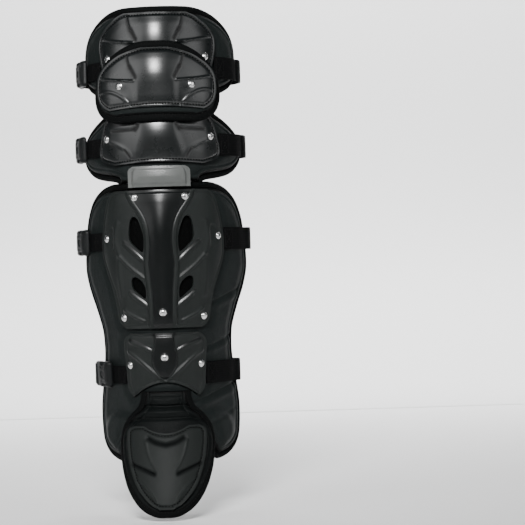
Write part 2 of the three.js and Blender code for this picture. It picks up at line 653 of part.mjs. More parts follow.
// Shin plate: centre ridge that flares at the knee, vented wings with raised lips
const SHIN_PLATE = makePanel({
  top: SHIN_PLATE_TOP,
  height: SHIN_PLATE_HEIGHT,
  half: SHIN_PLATE_WIDTH / 2,
  seat: SHIN_SHELL_SEAT,
  wall: SHELL_WALL,
  relief: SHIN_RELIEF,
  rows: [
    { at: 0.0, lines: [0, 0.28, 0.52, 0.57, 0.63, 0.7, 0.76], lift: [0.5, 0.48, 0.4, 0.15, 0.15, 0.1, 0] },
    { at: 0.03, lines: [0, 0.27, 0.5, 0.56, 0.66, 0.78, 0.85], lift: [0.8, 0.76, 0.62, 0.2, 0.2, 0.16, 0] },
    { at: 0.08, lines: [0, 0.24, 0.43, 0.5, 0.65, 0.82, 0.9], lift: [1, 0.94, 0.76, 0.26, 0.26, 0.2, 0] },
    { at: 0.13, lines: [0, 0.2, 0.35, 0.42, 0.62, 0.84, 0.925], lift: [1, 0.94, 0.78, 0.3, 0.3, 0.22, 0] },
    { at: 0.18, lines: [0, 0.15, 0.28, 0.34, 0.56, 0.84, 0.95], lift: [0.96, 0.9, 0.78, 0.34, 0.34, 0.24, 0] },
    { at: 0.24, lines: [0, 0.12, 0.22, 0.28, 0.54, 0.83, 0.97], lift: [0.9, 0.86, 0.76, 0.36, 0.38, 0.26, 0] },
    { at: 0.31, lines: [0, 0.1, 0.19, 0.25, 0.53, 0.82, 0.99], lift: [0.84, 0.8, 0.72, 0.34, 0.44, 0.26, 0] },
    { at: 0.38, lines: [0, 0.1, 0.185, 0.25, 0.52, 0.81, 1.0], lift: [0.78, 0.76, 0.68, 0.36, 0.74, 0.3, 0] },
    { at: 0.44, lines: [0, 0.1, 0.19, 0.26, 0.5, 0.79, 1.0], lift: [0.76, 0.74, 0.66, 0.46, 0.6, 0.38, 0] },
    { at: 0.49, lines: [0, 0.11, 0.21, 0.28, 0.48, 0.76, 0.985], lift: [0.76, 0.74, 0.66, 0.7, 0.42, 0.52, 0] },
    { at: 0.55, lines: [0, 0.11, 0.22, 0.29, 0.46, 0.72, 0.95], lift: [0.78, 0.76, 0.66, 0.42, 0.34, 0.36, 0] },
    { at: 0.61, lines: [0, 0.105, 0.2, 0.27, 0.45, 0.68, 0.91], lift: [0.78, 0.76, 0.66, 0.34, 0.56, 0.24, 0] },
    { at: 0.67, lines: [0, 0.1, 0.185, 0.25, 0.46, 0.66, 0.865], lift: [0.78, 0.76, 0.66, 0.3, 0.34, 0.22, 0] },
    { at: 0.735, lines: [0, 0.095, 0.175, 0.24, 0.48, 0.64, 0.82], lift: [0.76, 0.74, 0.64, 0.32, 0.66, 0.24, 0] },
    { at: 0.8, lines: [0, 0.09, 0.165, 0.24, 0.42, 0.62, 0.79], lift: [0.74, 0.72, 0.62, 0.66, 0.36, 0.26, 0] },
    { at: 0.86, lines: [0, 0.085, 0.16, 0.23, 0.4, 0.6, 0.765], lift: [0.7, 0.68, 0.6, 0.34, 0.26, 0.4, 0] },
    { at: 0.92, lines: [0, 0.085, 0.16, 0.22, 0.38, 0.58, 0.745], lift: [0.62, 0.6, 0.52, 0.4, 0.3, 0.2, 0] },
    { at: 0.97, lines: [0, 0.085, 0.155, 0.2, 0.36, 0.55, 0.7], lift: [0.46, 0.45, 0.4, 0.2, 0.16, 0.14, 0] },
    { at: 1.0, lines: [0, 0.085, 0.15, 0.19, 0.34, 0.5, 0.62], lift: [0.3, 0.3, 0.26, 0.1, 0.1, 0.08, 0] },
  ],
});

// Vents: corners as shares of the half width from the centre line and of the height
const UPPER_VENT = [
  [0.4, 0.2],
  [0.45, 0.2],
  [0.5, 0.28],
  [0.51, 0.37],
  [0.4, 0.43],
  [0.3, 0.465],
  [0.26, 0.43],
  [0.25, 0.35],
  [0.31, 0.28],
];
const LOWER_VENT = [
  [0.35, 0.655],
  [0.44, 0.625],
  [0.49, 0.64],
  [0.48, 0.7],
  [0.4, 0.735],
  [0.3, 0.775],
  [0.25, 0.76],
  [0.26, 0.7],
];

function ventSolid(corners, side) {
  const spots = corners.map(([x, down]) => [
    (side * x * SHIN_PLATE_WIDTH) / 2,
    SHIN_PLATE_TOP - down * SHIN_PLATE_HEIGHT,
  ]);
  const shape = new THREE.Shape(spots.map(([x, z]) => new THREE.Vector2(x, z)));
  const deep = 2 * SHIN_PLATE_WIDTH;
  const prism = new THREE.ExtrudeGeometry(shape, { depth: deep, bevelEnabled: false });
  prism.rotateX(Math.PI / 2);
  prism.translate(0, deep / 2, 0);
  return solidOf(prism);
}

function shinPlateGeometry() {
  const cuts = [UPPER_VENT, LOWER_VENT].flatMap((vent) => [ventSolid(vent, 1), ventSolid(vent, -1)]);
  return geometryFrom(cuts.reduce((plate, cut) => plate.subtract(cut), solidOf(panelGeometry(SHIN_PLATE))));
}

// Ankle plate: shield on the centre line, lower edge arched over the instep
const ANKLE_PLATE = makePanel({
  top: ANKLE_PLATE_TOP,
  height: ANKLE_PLATE_HEIGHT,
  half: ANKLE_PLATE_WIDTH / 2,
  seat: SHIN_SHELL_SEAT,
  wall: SHELL_WALL,
  relief: ANKLE_RELIEF,
  arch: (share, at) => ANKLE_ARCH * Math.max(0, 1 - (share / 0.8) ** 2) * Math.max(0, (at - 0.5) / 0.5),
  rows: [
    { at: 0.0, lines: [0, 0.13, 0.21, 0.27, 0.55, 0.78, 0.84], lift: [0.5, 0.5, 0.45, 0.1, 0.1, 0.1, 0] },
    { at: 0.06, lines: [0, 0.13, 0.21, 0.27, 0.58, 0.88, 0.95], lift: [1, 1, 0.9, 0.2, 0.25, 0.2, 0] },
    { at: 0.15, lines: [0, 0.13, 0.21, 0.28, 0.6, 0.93, 1.0], lift: [1, 1, 0.9, 0.4, 0.3, 0.22, 0] },
    { at: 0.24, lines: [0, 0.14, 0.23, 0.3, 0.6, 0.93, 1.0], lift: [1, 1, 0.9, 0.7, 0.2, 0.2, 0] },
    { at: 0.32, lines: [0, 0.18, 0.29, 0.35, 0.62, 0.92, 0.99], lift: [1, 1, 0.9, 0.2, 0.5, 0.2, 0] },
    { at: 0.46, lines: [0, 0.18, 0.28, 0.34, 0.56, 0.9, 0.975], lift: [1, 1, 0.9, 0.25, 0.55, 0.2, 0] },
    { at: 0.6, lines: [0, 0.14, 0.23, 0.3, 0.5, 0.89, 0.965], lift: [1, 0.95, 0.85, 0.5, 0.3, 0.2, 0] },
    { at: 0.74, lines: [0, 0.08, 0.16, 0.26, 0.5, 0.88, 0.955], lift: [0.9, 0.85, 0.6, 0.4, 0.25, 0.2, 0] },
    { at: 0.88, lines: [0, 0.08, 0.16, 0.26, 0.52, 0.85, 0.925], lift: [0.5, 0.45, 0.4, 0.3, 0.2, 0.15, 0] },
    { at: 1.0, lines: [0, 0.1, 0.18, 0.26, 0.52, 0.74, 0.8], lift: [0.3, 0.3, 0.3, 0.2, 0.1, 0.08, 0] },
  ],
});

// Instep flap: pleated neck, then a bound tongue that leans forward
const FLAP_PAD = makePanel({
  top: FLAP_TOP,
  height: FLAP_HEIGHT,
  half: FLAP_WIDTH / 2,
  seat: FLAP_SEAT,
  wall: FLAP_WALL,
  wallAt: padWall(FLAP_WALL, 0.06),
  relief: PLEAT_DEPTH,
  followed: false,
  forward: flapForward,
  rows: [
    { at: 0.0, half: 0.46, lift: 0 },
    { at: 0.08, half: 0.49, lift: 0 },
    { at: 0.125, half: 0.53, lift: 0.2 },
    { at: 0.15, half: 0.57, lift: -1 },
    { at: 0.175, half: 0.63, lift: 0.4 },
    { at: 0.21, half: 0.74, lift: 0.4 },
    { at: 0.24, half: 0.82, lift: -0.8 },
    { at: 0.27, half: 0.88, lift: 0 },
    { at: 0.34, half: 0.965, lift: 0 },
    { at: 0.43, half: 1.0, lift: 0 },
    { at: 0.58, half: 0.975, lift: 0 },
    { at: 0.73, half: 0.88, lift: 0 },
    { at: 0.81, half: 0.79, lift: 0 },
    { at: 0.88, half: 0.67, lift: 0 },
    { at: 0.94, half: 0.52, lift: 0 },
    { at: 0.98, half: 0.34, lift: 0 },
    { at: 1.0, half: 0.2, lift: 0 },
  ].map(({ at, half, lift }) => ({
    at,
    lines: PAD_LINES.map((share) => share * half),
    lift: [lift, lift, lift, lift, lift * 0.5, 0],
  })),
});

const TOE_CAP = makePanel({
  top: TOE_CAP_TOP,
  height: TOE_CAP_HEIGHT,
  half: TOE_CAP_WIDTH / 2,
  seat: TOE_SEAT,
  wall: SHELL_WALL,
  relief: TOE_RELIEF,
  forward: flapForward,
  arch: (share, at) => {
    const dip = Math.max(0, 1 - (share / 0.55) ** 2);
    const shoulder = Math.max(0, (share - 0.8) / 0.2);
    return -TOE_DIP * (dip + 0.4 * shoulder) * Math.max(0, 1 - at / 0.3);
  },
  rows: [
    { at: 0.0, lines: [0, 0.2, 0.4, 0.6, 0.86, 0.92], lift: [0.2, 0.2, 0.3, 0.3, 0.2, 0] },
    { at: 0.04, lines: [0, 0.22, 0.44, 0.66, 0.93, 0.99], lift: [0.3, 0.3, 0.4, 0.4, 0.25, 0] },
    { at: 0.1, lines: [0, 0.2, 0.44, 0.68, 0.94, 1.0], lift: [-0.3, -0.2, 0.6, 0.5, 0.3, 0] },
    { at: 0.18, lines: [0, 0.2, 0.42, 0.68, 0.94, 1.0], lift: [0.7, 0.7, 0.8, 0.5, 0.3, 0] },
    { at: 0.28, lines: [0, 0.16, 0.34, 0.66, 0.93, 0.985], lift: [0.9, 0.9, 0.9, 0.4, 0.3, 0] },
    { at: 0.38, lines: [0, 0.12, 0.26, 0.64, 0.91, 0.965], lift: [0.9, 0.9, 0.8, 0.3, 0.2, 0] },
    { at: 0.45, lines: [0, 0.12, 0.24, 0.62, 0.87, 0.93], lift: [0.9, 0.8, 0.2, -0.3, 0.2, 0] },
    { at: 0.52, lines: [0, 0.13, 0.26, 0.6, 0.84, 0.9], lift: [0.9, 0.9, 0.8, 0.5, 0.3, 0] },
    { at: 0.64, lines: [0, 0.14, 0.3, 0.54, 0.76, 0.82], lift: [0.9, 0.9, 0.8, 0.5, 0.2, 0] },
    { at: 0.75, lines: [0, 0.14, 0.28, 0.46, 0.66, 0.72], lift: [0.8, 0.8, 0.6, 0.3, 0.2, 0] },
    { at: 0.85, lines: [0, 0.12, 0.24, 0.38, 0.51, 0.57], lift: [0.7, 0.6, 0.4, 0.2, 0.1, 0] },
    { at: 0.94, lines: [0, 0.1, 0.2, 0.28, 0.34, 0.39], lift: [0.4, 0.3, 0.2, 0.1, 0.1, 0] },
    { at: 1.0, lines: [0, 0.05, 0.09, 0.12, 0.14, 0.17], lift: [0, 0, 0, 0, 0, 0] },
  ],
});

// Point and direction on a shell's outer face, from shares of its half width and height
function onShell(panel, share, at) {
  const side = Math.sign(share) || 1;
  const step = 0.02;
  const spot = (x, down) => {
    const wide = Math.max(0, x);
    return panelPoint(panel, side * lineOf(panel.rows, down, wide), down, 1);
  };
  const x = Math.abs(share);
  const here = spot(x, at);
  const up = spot(x, at - step).sub(spot(x, at + step));
  const wide = x === 0 ? new THREE.Vector3(1, 0, 0) : spot(x + step, at).sub(spot(x - step, at));
  const normal = new THREE.Vector3().crossVectors(wide.multiplyScalar(x === 0 ? 1 : side), up);
  return { here, normal: normal.normalize() };
}

// How far a shell's outer face swells above its tangent plane under a rivet head
function swellUnder(panel, share, at, radius, here, normal) {
  const steps = [-1, 0, 1];
  const rises = steps.flatMap((i) =>
    steps.map((j) => {
      const x = Math.abs(share) + (i * radius) / panel.half;
      const down = at + (j * radius) / panel.height;
      const side = Math.sign(share) || 1;
      const line = side * Math.sign(x) * lineOf(panel.rows, down, Math.abs(x));
      return panelPoint(panel, line, down, 1).sub(here).dot(normal);
    }),
  );
  return Math.max(0, ...rises);
}

// Domed rivet head that stands on a shell
function rivetGeometry(panel, share, at, radius, height) {
  const { here, normal } = onShell(panel, share, at);
  const turn = new THREE.Quaternion().setFromUnitVectors(new THREE.Vector3(0, 0, 1), normal);
  const sides = RIVET_SIDES;
  const profile = [
    [1, 0],
    [1, 0.25],
    [0.8, 0.72],
    [0.45, 0.94],
  ];
  const rise = GAP + swellUnder(panel, share, at, radius, here, normal);
  const place = (x, y, z) =>
    new THREE.Vector3(x, y, z + rise).applyQuaternion(turn).add(here);
  const points = profile.flatMap(([wide, high]) =>
    Array.from({ length: sides }, (unused, i) => {
      const angle = (2 * Math.PI * i) / sides;
      return place(radius * wide * Math.cos(angle), radius * wide * Math.sin(angle), height * high);
    }),
  );
  const faces = [];
  for (let r = 0; r < profile.length - 1; r += 1)
    for (let i = 0; i < sides; i += 1) {
      const j = (i + 1) % sides;
      const [a, b] = [r * sides + i, r * sides + j];
      faces.push([a, b, b + sides], [a, b + sides, a + sides]);
    }
  const top = points.push(place(0, 0, height)) - 1;
  const base = points.push(place(0, 0, 0)) - 1;
  const rim = (profile.length - 1) * sides;
  for (let i = 0; i < sides; i += 1) {
    const j = (i + 1) % sides;
    faces.push([rim + i, rim + j, top], [j, i, base]);
  }
  return faceOut(points, faces);
}

// Rivets: shell, and place as signed share of its half width and share of its height
const RIVETS = [
  { name: "rivet_upper_left", panel: UPPER_CUP, x: -0.83, at: 0.7 },
  { name: "rivet_upper_right", panel: UPPER_CUP, x: 0.83, at: 0.7 },
  { name: "rivet_middle_left", panel: MIDDLE_CUP, x: -0.58, at: 0.6 },
  { name: "rivet_middle_right", panel: MIDDLE_CUP, x: 0.58, at: 0.6 },
  { name: "rivet_lower_left", panel: LOWER_CUP, x: -0.85, at: 0.45 },
  { name: "rivet_lower_right", panel: LOWER_CUP, x: 0.85, at: 0.45 },
  { name: "rivet_shin_top_left", panel: SHIN_PLATE, x: -0.4, at: 0.05 },
  { name: "rivet_shin_top_right", panel: SHIN_PLATE, x: 0.4, at: 0.05 },
  { name: "rivet_shin_mid_left", panel: SHIN_PLATE, x: -0.92, at: 0.34 },
  { name: "rivet_shin_mid_right", panel: SHIN_PLATE, x: 0.92, at: 0.34 },
  { name: "rivet_shin_low_left", panel: SHIN_PLATE, x: -0.65, at: 0.92 },
  { name: "rivet_shin_low_right", panel: SHIN_PLATE, x: 0.65, at: 0.92 },
  { name: "rivet_shin_centre", panel: SHIN_PLATE, x: 0, at: 0.885, dome: true },
  { name: "rivet_ankle_left", panel: ANKLE_PLATE, x: -0.87, at: 0.5 },
  { name: "rivet_ankle_right", panel: ANKLE_PLATE, x: 0.87, at: 0.5 },
  { name: "rivet_ankle_centre", panel: ANKLE_PLATE, x: 0, at: 0.38, dome: true },
];

// Depth of a pad's outer face, or of its rim beyond the edge, at arc length s and height z
function padDepth(panel, s, z) {
  const at = THREE.MathUtils.clamp((panel.top - z) / panel.height, 0, 1);
  const edge = valueAt(panel.rows, at, "lines", PAD_LINES.length - 1) * panel.half;
  const edgeArc = arcOf(edge, z, panel.seat + panel.wall);
  const share = Math.min(1, Math.abs(s) / edgeArc);
  const line = lineOf(panel.rows, at, (edge / panel.half) * share);
  const lift = panel.relief * valueAt(panel.rows, at, "lift", line);
  return panel.seat + panel.wallAt(line, at) + Math.max(0, lift);
}

// Farthest arc length that a shell's edge reaches between some heights
function shellEdge(shell, heights) {
  const arcs = heights.map((z) => {
    const at = THREE.MathUtils.clamp((shell.top - z) / shell.height, 0, 1);
    const half = shell.half * valueAt(shell.rows, at, "lines", shell.rows[0].lines.length - 1);
    return arcOf(half, z, shell.seat + shell.wall);
  });
  return Math.max(...arcs);
}

// Plan of one strap's whole round: over the right pad face, round the back, over the left face.
// Each station holds the lower and upper point of the strap's inner face and its outward side.
function strapRound({ panel, shell, z }) {
  const width = BUCKLE_WIDTH;
  const at = (panel.top - z) / panel.height;
  const half = valueAt(panel.rows, at, "lines", PAD_LINES.length - 1) * panel.half;
  const edge = arcOf(half, z, panel.seat + panel.wall);
  const lay = 2 * SEAT_GAP;
  const over = BINDING_WIDTH + 2 * GAP;
  const heights = [-0.5, -0.25, 0, 0.25, 0.5].map((share) => z + share * width);
  const start = shellEdge(shell, heights) + SHELL_CLEARANCE;
  const stops = [0, 0.25, 0.5, 0.7, 0.85, 1].map((share) => start + share * (edge - start));
  const face = (side) =>
    [...stops, edge + over / 2, edge + over + 1].map((stop) => {
      const s = side * stop;
      const depth = lay + Math.max(...heights.map((height) => padDepth(panel, s, height)));
      const lo = onLeg(s, heights[0], depth);
      const hi = onLeg(s, heights[heights.length - 1], depth);
      return { lo, hi, n: outward(s, z) };
    });
  const right = face(1);
  const left = face(-1).reverse();
  const last = right[right.length - 1];
  const mid = last.lo.clone().add(last.hi).multiplyScalar(0.5);
  const { radius } = legAt(z);
  const behind = onLeg(0, z, 0).y + 2 * radius + BACK_CLEARANCE;
  const run = behind - mid.y;
  const wide = mid.x + 4;
  const turns = [
    [mid.x, mid.y],
    [wide, mid.y + run * 0.16],
    [wide - 1, mid.y + run * 0.38],
    [wide * 0.86, mid.y + run * 0.68],
    [wide * 0.6, mid.y + run * 0.87],
    [wide * 0.3, mid.y + run * 0.97],
    [0, behind],
  ];
  const round = [...turns, ...turns.slice(0, -1).reverse().map(([x, y]) => [-x, y])];
  const curve = new THREE.CatmullRomCurve3(
    round.map(([x, y]) => new THREE.Vector3(x, y, z)),
    false,
    "centripetal",
  );
  const steps = 40;
  const back = [];
  for (let i = 2; i < steps - 1; i += 1) {
    const p = curve.getPointAt(i / steps);
    const t = curve.getTangentAt(i / steps);
    const lo = p.clone().setZ(z - width / 2);
    const hi = p.clone().setZ(z + width / 2);
    back.push({ lo, hi, n: new THREE.Vector3(t.y, -t.x, 0).normalize() });
  }
  return [...right, ...back, ...left];
}

// The part of a strap's round between two distances from its left end
function stretch(round, from, to, count) {
  const middle = round.map(({ lo, hi }) => lo.clone().add(hi).multiplyScalar(0.5));
  const gone = [0];
  for (let i = round.length - 1; i > 0; i -= 1)
    gone.push(gone[gone.length - 1] + middle[i].distanceTo(middle[i - 1]));
  const total = gone[gone.length - 1];
  const end = to === null ? total : to;
  return Array.from({ length: count + 1 }, (unused, i) => {
    const want = from + ((end - from) * i) / count;
    let k = gone.findIndex((d) => d >= want);
    if (k < 1) k = want <= 0 ? 1 : gone.length - 1;
    const part = (want - gone[k - 1]) / (gone[k] - gone[k - 1]);
    const a = round[round.length - k];
    const b = round[round.length - 1 - k];
    return {
      lo: a.lo.clone().lerp(b.lo, part),
      hi: a.hi.clone().lerp(b.hi, part),
      n: a.n.clone().lerp(b.n, part).normalize(),
    };
  });
}

// The same stretch for a narrower strap
function narrow(stations, width) {
  const cut = (1 - width / BUCKLE_WIDTH) / 2;
  return stations.map(({ lo, hi, n }) => ({ lo: lo.clone().lerp(hi, cut), hi: hi.clone().lerp(lo, cut), n }));
}

// The same stretch without its bend, lifted clear of what it spans
function straight(stations) {
  const first = stations[0];
  const last = stations[stations.length - 1];
  return stations.map((station, i) => {
    const part = i / (stations.length - 1);
    const n = first.n.clone().lerp(last.n, 0.5).normalize();
    return {
      lo: first.lo.clone().lerp(last.lo, part).addScaledVector(n, BUCKLE_LIFT),
      hi: first.hi.clone().lerp(last.hi, part).addScaledVector(n, BUCKLE_LIFT),
      n,
    };
  });
}

// Solid along a stretch; each section is a list of corners [depth, share of the width]
function bandGeometry(stations, sectionAt) {
  const rings = stations.map(({ lo, hi, n }, i) => {
    const mid = lo.clone().add(hi).multiplyScalar(0.5);
    const up = hi.clone().sub(lo);
    return sectionAt(i / (stations.length - 1)).map(([deep, high]) =>
      mid.clone().addScaledVector(n, deep).addScaledVector(up, high),
    );
  });
  return loft(rings);
}

const flatSection = (wall, high) => [
  [0, -high],
  [0, high],
  [wall, high],
  [wall, -high],
];

// Bevelled section of a moulded buckle half
const buckleSection = (wall, high) => [
  [0, -high],
  [0, high],
  [wall * 0.55, high],
  [wall, high * 0.8],
  [wall, -high * 0.8],
  [wall * 0.55, -high],
];

// Strap levels: each strap starts at the edge of a shell and lies on the pad beside it
const STRAP_LEVELS = [
  { name: "knee", panel: UPPER_PAD, z: UPPER_TOP - 0.68 * UPPER_PAD_HEIGHT, shell: UPPER_CUP },
  { name: "calf_top", panel: LOWER_PAD, z: LOWER_TOP - 0.53 * LOWER_PAD_HEIGHT, shell: LOWER_CUP },
  { name: "calf", panel: SHIN_PAD, z: SHIN_TOP - 0.19 * SHIN_PAD_HEIGHT, shell: SHIN_PLATE },
  { name: "ankle", panel: SHIN_PAD, z: SHIN_TOP - 0.69 * SHIN_PAD_HEIGHT, shell: ANKLE_PLATE },
];

function strapPieces(level) {
  const { name } = level;
  const round = strapRound(level);
  const socketStart = TAB_LENGTH + GAP;
  const plugStart = socketStart + SOCKET_LENGTH + GAP;
  const strapStart = plugStart + PLUG_LENGTH + GAP;
  const widths = (rows) => (t) => {
    const high = read(rows, "t", t, "high");
    return buckleSection(BUCKLE_WALL * read(rows, "t", t, "wall"), high / 2);
  };
  const socket = [
    { t: 0, high: 0.78, wall: 0.7 },
    { t: 0.15, high: 1, wall: 1 },
    { t: 0.5, high: 1, wall: 1 },
    { t: 0.7, high: 0.84, wall: 1 },
    { t: 1, high: 0.9, wall: 0.9 },
  ];
  const plug = [
    { t: 0, high: 0.9, wall: 0.8 },
    { t: 0.4, high: 0.96, wall: 0.8 },
    { t: 1, high: 0.86, wall: 0.6 },
  ];
  const tabPath = narrow(stretch(round, 0, TAB_LENGTH, 4), TAB_WIDTH);
  const socketPath = straight(stretch(round, socketStart, socketStart + SOCKET_LENGTH, 6));
  const plugPath = stretch(round, plugStart, plugStart + PLUG_LENGTH, 3);
  const loopPath = narrow(stretch(round, strapStart, null, 20), STRAP_WIDTH);
  const webbing = () => flatSection(STRAP_WALL, 0.5);
  return [
    { name: "strap_tab_" + name, geometry: bandGeometry(tabPath, webbing), look: WEBBING },
    { name: "buckle_socket_" + name, geometry: bandGeometry(socketPath, widths(socket)), look: BUCKLE },
    { name: "buckle_plug_" + name, geometry: bandGeometry(plugPath, widths(plug)), look: BUCKLE },
    { name: "strap_loop_" + name, geometry: bandGeometry(loopPath, webbing), look: WEBBING },
  ];
}

const material = (color, roughness, metalness = 0) =>
  new THREE.MeshStandardMaterial({ color, roughness, metalness });
const GLOSS = material(0x14171a, 0.22);
const SATIN = material(0x3a3d3c, 0.48);
const CLOTH = material(0x23282a, 0.7);
const TAPE = material(0x121416, 0.85);
const PANEL = material(0x55595a, 0.5);
const NICKEL = material(0xc9cccd, 0.25, 1);
const WEBBING = material(0x101112, 0.9);
const BUCKLE = material(0x1d2022, 0.5);

const guard = new THREE.Group();
guard.name = "catcher_leg_guard";

function add(name, geometry, look) {
  const mesh = new THREE.Mesh(geometry, look);
  mesh.name = name;
  guard.add(mesh);
}

add("upper_pad", panelGeometry(UPPER_PAD), CLOTH);
add("middle_pad", panelGeometry(MIDDLE_PAD), CLOTH);
add("lower_pad", panelGeometry(LOWER_PAD), CLOTH);
add("shin_pad", panelGeometry(SHIN_PAD), CLOTH);
add("flap_pad", panelGeometry(FLAP_PAD), CLOTH);
add("upper_binding", bindingGeometry(UPPER_PAD, BINDING_WIDTH), TAPE);
add("middle_binding", bindingGeometry(MIDDLE_PAD, KNEE_BINDING_WIDTH), TAPE);
add("lower_binding", bindingGeometry(LOWER_PAD, BINDING_WIDTH, "bottom"), TAPE);
add("shin_binding", bindingGeometry(SHIN_PAD, BINDING_WIDTH), TAPE);
add("flap_binding", bindingGeometry(FLAP_PAD, BINDING_WIDTH, "top"), TAPE);
add("upper_cup", panelGeometry(UPPER_CUP), GLOSS);
add("middle_cup", panelGeometry(MIDDLE_CUP), GLOSS);
add("lower_cup", panelGeometry(LOWER_CUP), GLOSS);
add("knee_bridge", panelGeometry(BRIDGE), PANEL);
add("shin_plate", shinPlateGeometry(), SATIN);
add("ankle_plate", panelGeometry(ANKLE_PLATE), SATIN);
add("toe_cap", panelGeometry(TOE_CAP), SATIN);
for (const { name, panel, x, at, dome } of RIVETS) {
  const radius = dome ? DOME_RADIUS : RIVET_RADIUS;
  const height = dome ? DOME_HEIGHT : RIVET_HEIGHT;
  add(name, rivetGeometry(panel, x, at, radius, height), NICKEL);
}
for (const level of STRAP_LEVELS)
  for (const { name, geometry, look } of strapPieces(level)) add(name, geometry, look);

export default guard;
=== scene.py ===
# %% [markdown]
# # A catcher's leg guard
# The guard is a stack of cloth-covered pads with moulded plastic shells on them: three knee cups,
# a shin plate, an ankle plate and a toe cap. Each shell is riveted on, and four elastic straps with
# buckles go round the leg. Every piece here is made from its own outline as seen from the front,
# which is then wrapped round one shared leg form, so that the pieces lie on each other.

# %% Load the guard's frame and note its size
import math

import bmesh
import bpy
import numpy as np
from mathutils import Matrix, Quaternion, Vector, noise


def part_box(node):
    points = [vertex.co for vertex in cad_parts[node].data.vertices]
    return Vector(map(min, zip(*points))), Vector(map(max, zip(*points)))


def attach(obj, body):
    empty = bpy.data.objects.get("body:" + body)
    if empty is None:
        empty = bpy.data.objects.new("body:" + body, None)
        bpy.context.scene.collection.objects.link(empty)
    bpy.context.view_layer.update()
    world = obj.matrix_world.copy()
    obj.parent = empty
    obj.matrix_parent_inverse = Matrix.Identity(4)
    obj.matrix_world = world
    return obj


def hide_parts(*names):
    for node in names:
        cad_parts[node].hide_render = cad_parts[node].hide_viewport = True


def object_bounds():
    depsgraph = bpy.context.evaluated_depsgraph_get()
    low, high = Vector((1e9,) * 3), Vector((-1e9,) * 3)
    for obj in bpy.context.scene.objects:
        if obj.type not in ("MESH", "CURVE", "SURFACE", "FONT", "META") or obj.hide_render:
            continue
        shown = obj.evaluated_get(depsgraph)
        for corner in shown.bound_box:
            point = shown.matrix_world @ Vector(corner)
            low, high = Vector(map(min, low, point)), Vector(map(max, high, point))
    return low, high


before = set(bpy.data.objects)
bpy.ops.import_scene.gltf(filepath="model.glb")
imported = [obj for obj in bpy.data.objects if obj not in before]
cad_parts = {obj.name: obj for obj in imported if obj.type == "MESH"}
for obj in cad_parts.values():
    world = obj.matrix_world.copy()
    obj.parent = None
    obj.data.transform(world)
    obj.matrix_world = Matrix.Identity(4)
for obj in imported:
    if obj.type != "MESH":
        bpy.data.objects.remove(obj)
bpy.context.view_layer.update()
MM = 0.001

# %% [markdown]
# Work in millimetres and turn them to metres only when a mesh is written. The knee's top and the
# toe's end come from the frame, so the leg form below spans exactly the length of the guard.

# %% The leg that the guard wraps
CALF_RADIUS = 64.0
WRAP = math.radians(55)  # from the front line to where the wings run on flat
FRONT_BOW = 8.0
STEP = 1.1  # grid of the front view: one step, in millimetres
DATUM = 260.0  # steps from the top of the front view down to the origin
KNEE_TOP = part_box("upper_pad")[1].z / MM
TOE_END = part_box("flap_pad")[0].z / MM
# Share of the length from the knee's top; share of the calf's radius; share of the front's bow
LEG_FORM = np.array([
    (0.0, 0.97, 0.9), (0.08, 0.98, 0.2), (0.16, 0.99, -0.5), (0.24, 0.98, -0.6),
    (0.34, 0.97, -0.2), (0.44, 1.0, 0.0), (0.53, 1.0, 0.05), (0.6, 0.9, 0.2),
    (0.67, 0.76, 0.5), (0.74, 0.67, 0.7), (0.82, 0.64, 0.7), (1.0, 0.68, 0.7),
])


def leg_at(z):
    """Radius and front line of the leg at a height, smoothed over its neighbours."""
    down = (KNEE_TOP - np.asarray(z, float)) / (KNEE_TOP - TOE_END)
    near = [down + step for step in (-0.03, -0.015, 0.0, 0.015, 0.03)]
    round_ = sum(np.interp(d, LEG_FORM[:, 0], LEG_FORM[:, 1]) for d in near) / len(near)
    back = sum(np.interp(d, LEG_FORM[:, 0], LEG_FORM[:, 2]) for d in near) / len(near)
    return CALF_RADIUS * round_, FRONT_BOW * back


ZERO_FRONT = float(leg_at(0.0)[1])


def on_leg(s, z, depth):
    """Points at arc length s round the leg, height z and a depth above it."""
    radius, front = leg_at(z)
    turn = np.minimum(np.abs(s) / radius, WRAP)
    flat = np.maximum(0, np.abs(s) - radius * WRAP)
    reach = (radius + depth) * np.sin(turn) + flat * math.cos(WRAP)
    back = radius - (radius + depth) * np.cos(turn) + flat * math.sin(WRAP)
    return np.stack(np.broadcast_arrays(np.sign(s) * reach, front - ZERO_FRONT + back, z), -1)


def arc_of(x, z, depth):
    """Arc length whose point at this depth is seen at x from the front."""
    radius, _ = leg_at(z)
    edge = (radius + depth) * math.sin(WRAP)
    reach = np.abs(x)
    bent = radius * np.arcsin(np.clip(reach / (radius + depth), 0, 1))
    return np.sign(x) * np.where(reach <= edge, bent, radius * WRAP + (reach - edge) / math.cos(WRAP))


print("leg radius at the calf and the ankle:", leg_at(0.0)[0], leg_at(-150.0)[0])

# %% [markdown]
# Moulded relief is drawn like a designer's sketch: soft swells, raised fields and pressed lines,
# each given by a few corners counted in steps of the front view. The functions below turn such a
# sketch into a height for every point. They work on whole arrays at once, which keeps them fast.

# %% Tools for drawing relief
def smooth(x, table):
    """Smooth curve through a short table, without overshoot."""
    xs, ys = np.array(table, float).T
    step = np.diff(xs)
    slope = np.diff(ys) / step
    same = slope[:-1] * slope[1:] > 0
    total = np.where(same, slope[:-1] + slope[1:], 1)
    inner = np.where(same, 2 * slope[:-1] * slope[1:] / total, 0)
    tangent = np.concatenate([slope[:1], inner, slope[-1:]])
    x = np.clip(x, xs[0], xs[-1])
    i = np.clip(np.searchsorted(xs, x, side="right") - 1, 0, len(step) - 1)
    t = (x - xs[i]) / step[i]
    rest = 1 - t
    ends = ys[i] * (1 + 2 * t) * rest**2 + ys[i + 1] * (3 - 2 * t) * t**2
    return ends + step[i] * (tangent[i] * t * rest**2 - tangent[i + 1] * t**2 * rest)


def ease(t):
    t = np.clip(t, 0, 1)
    return t * t * (3 - 2 * t)


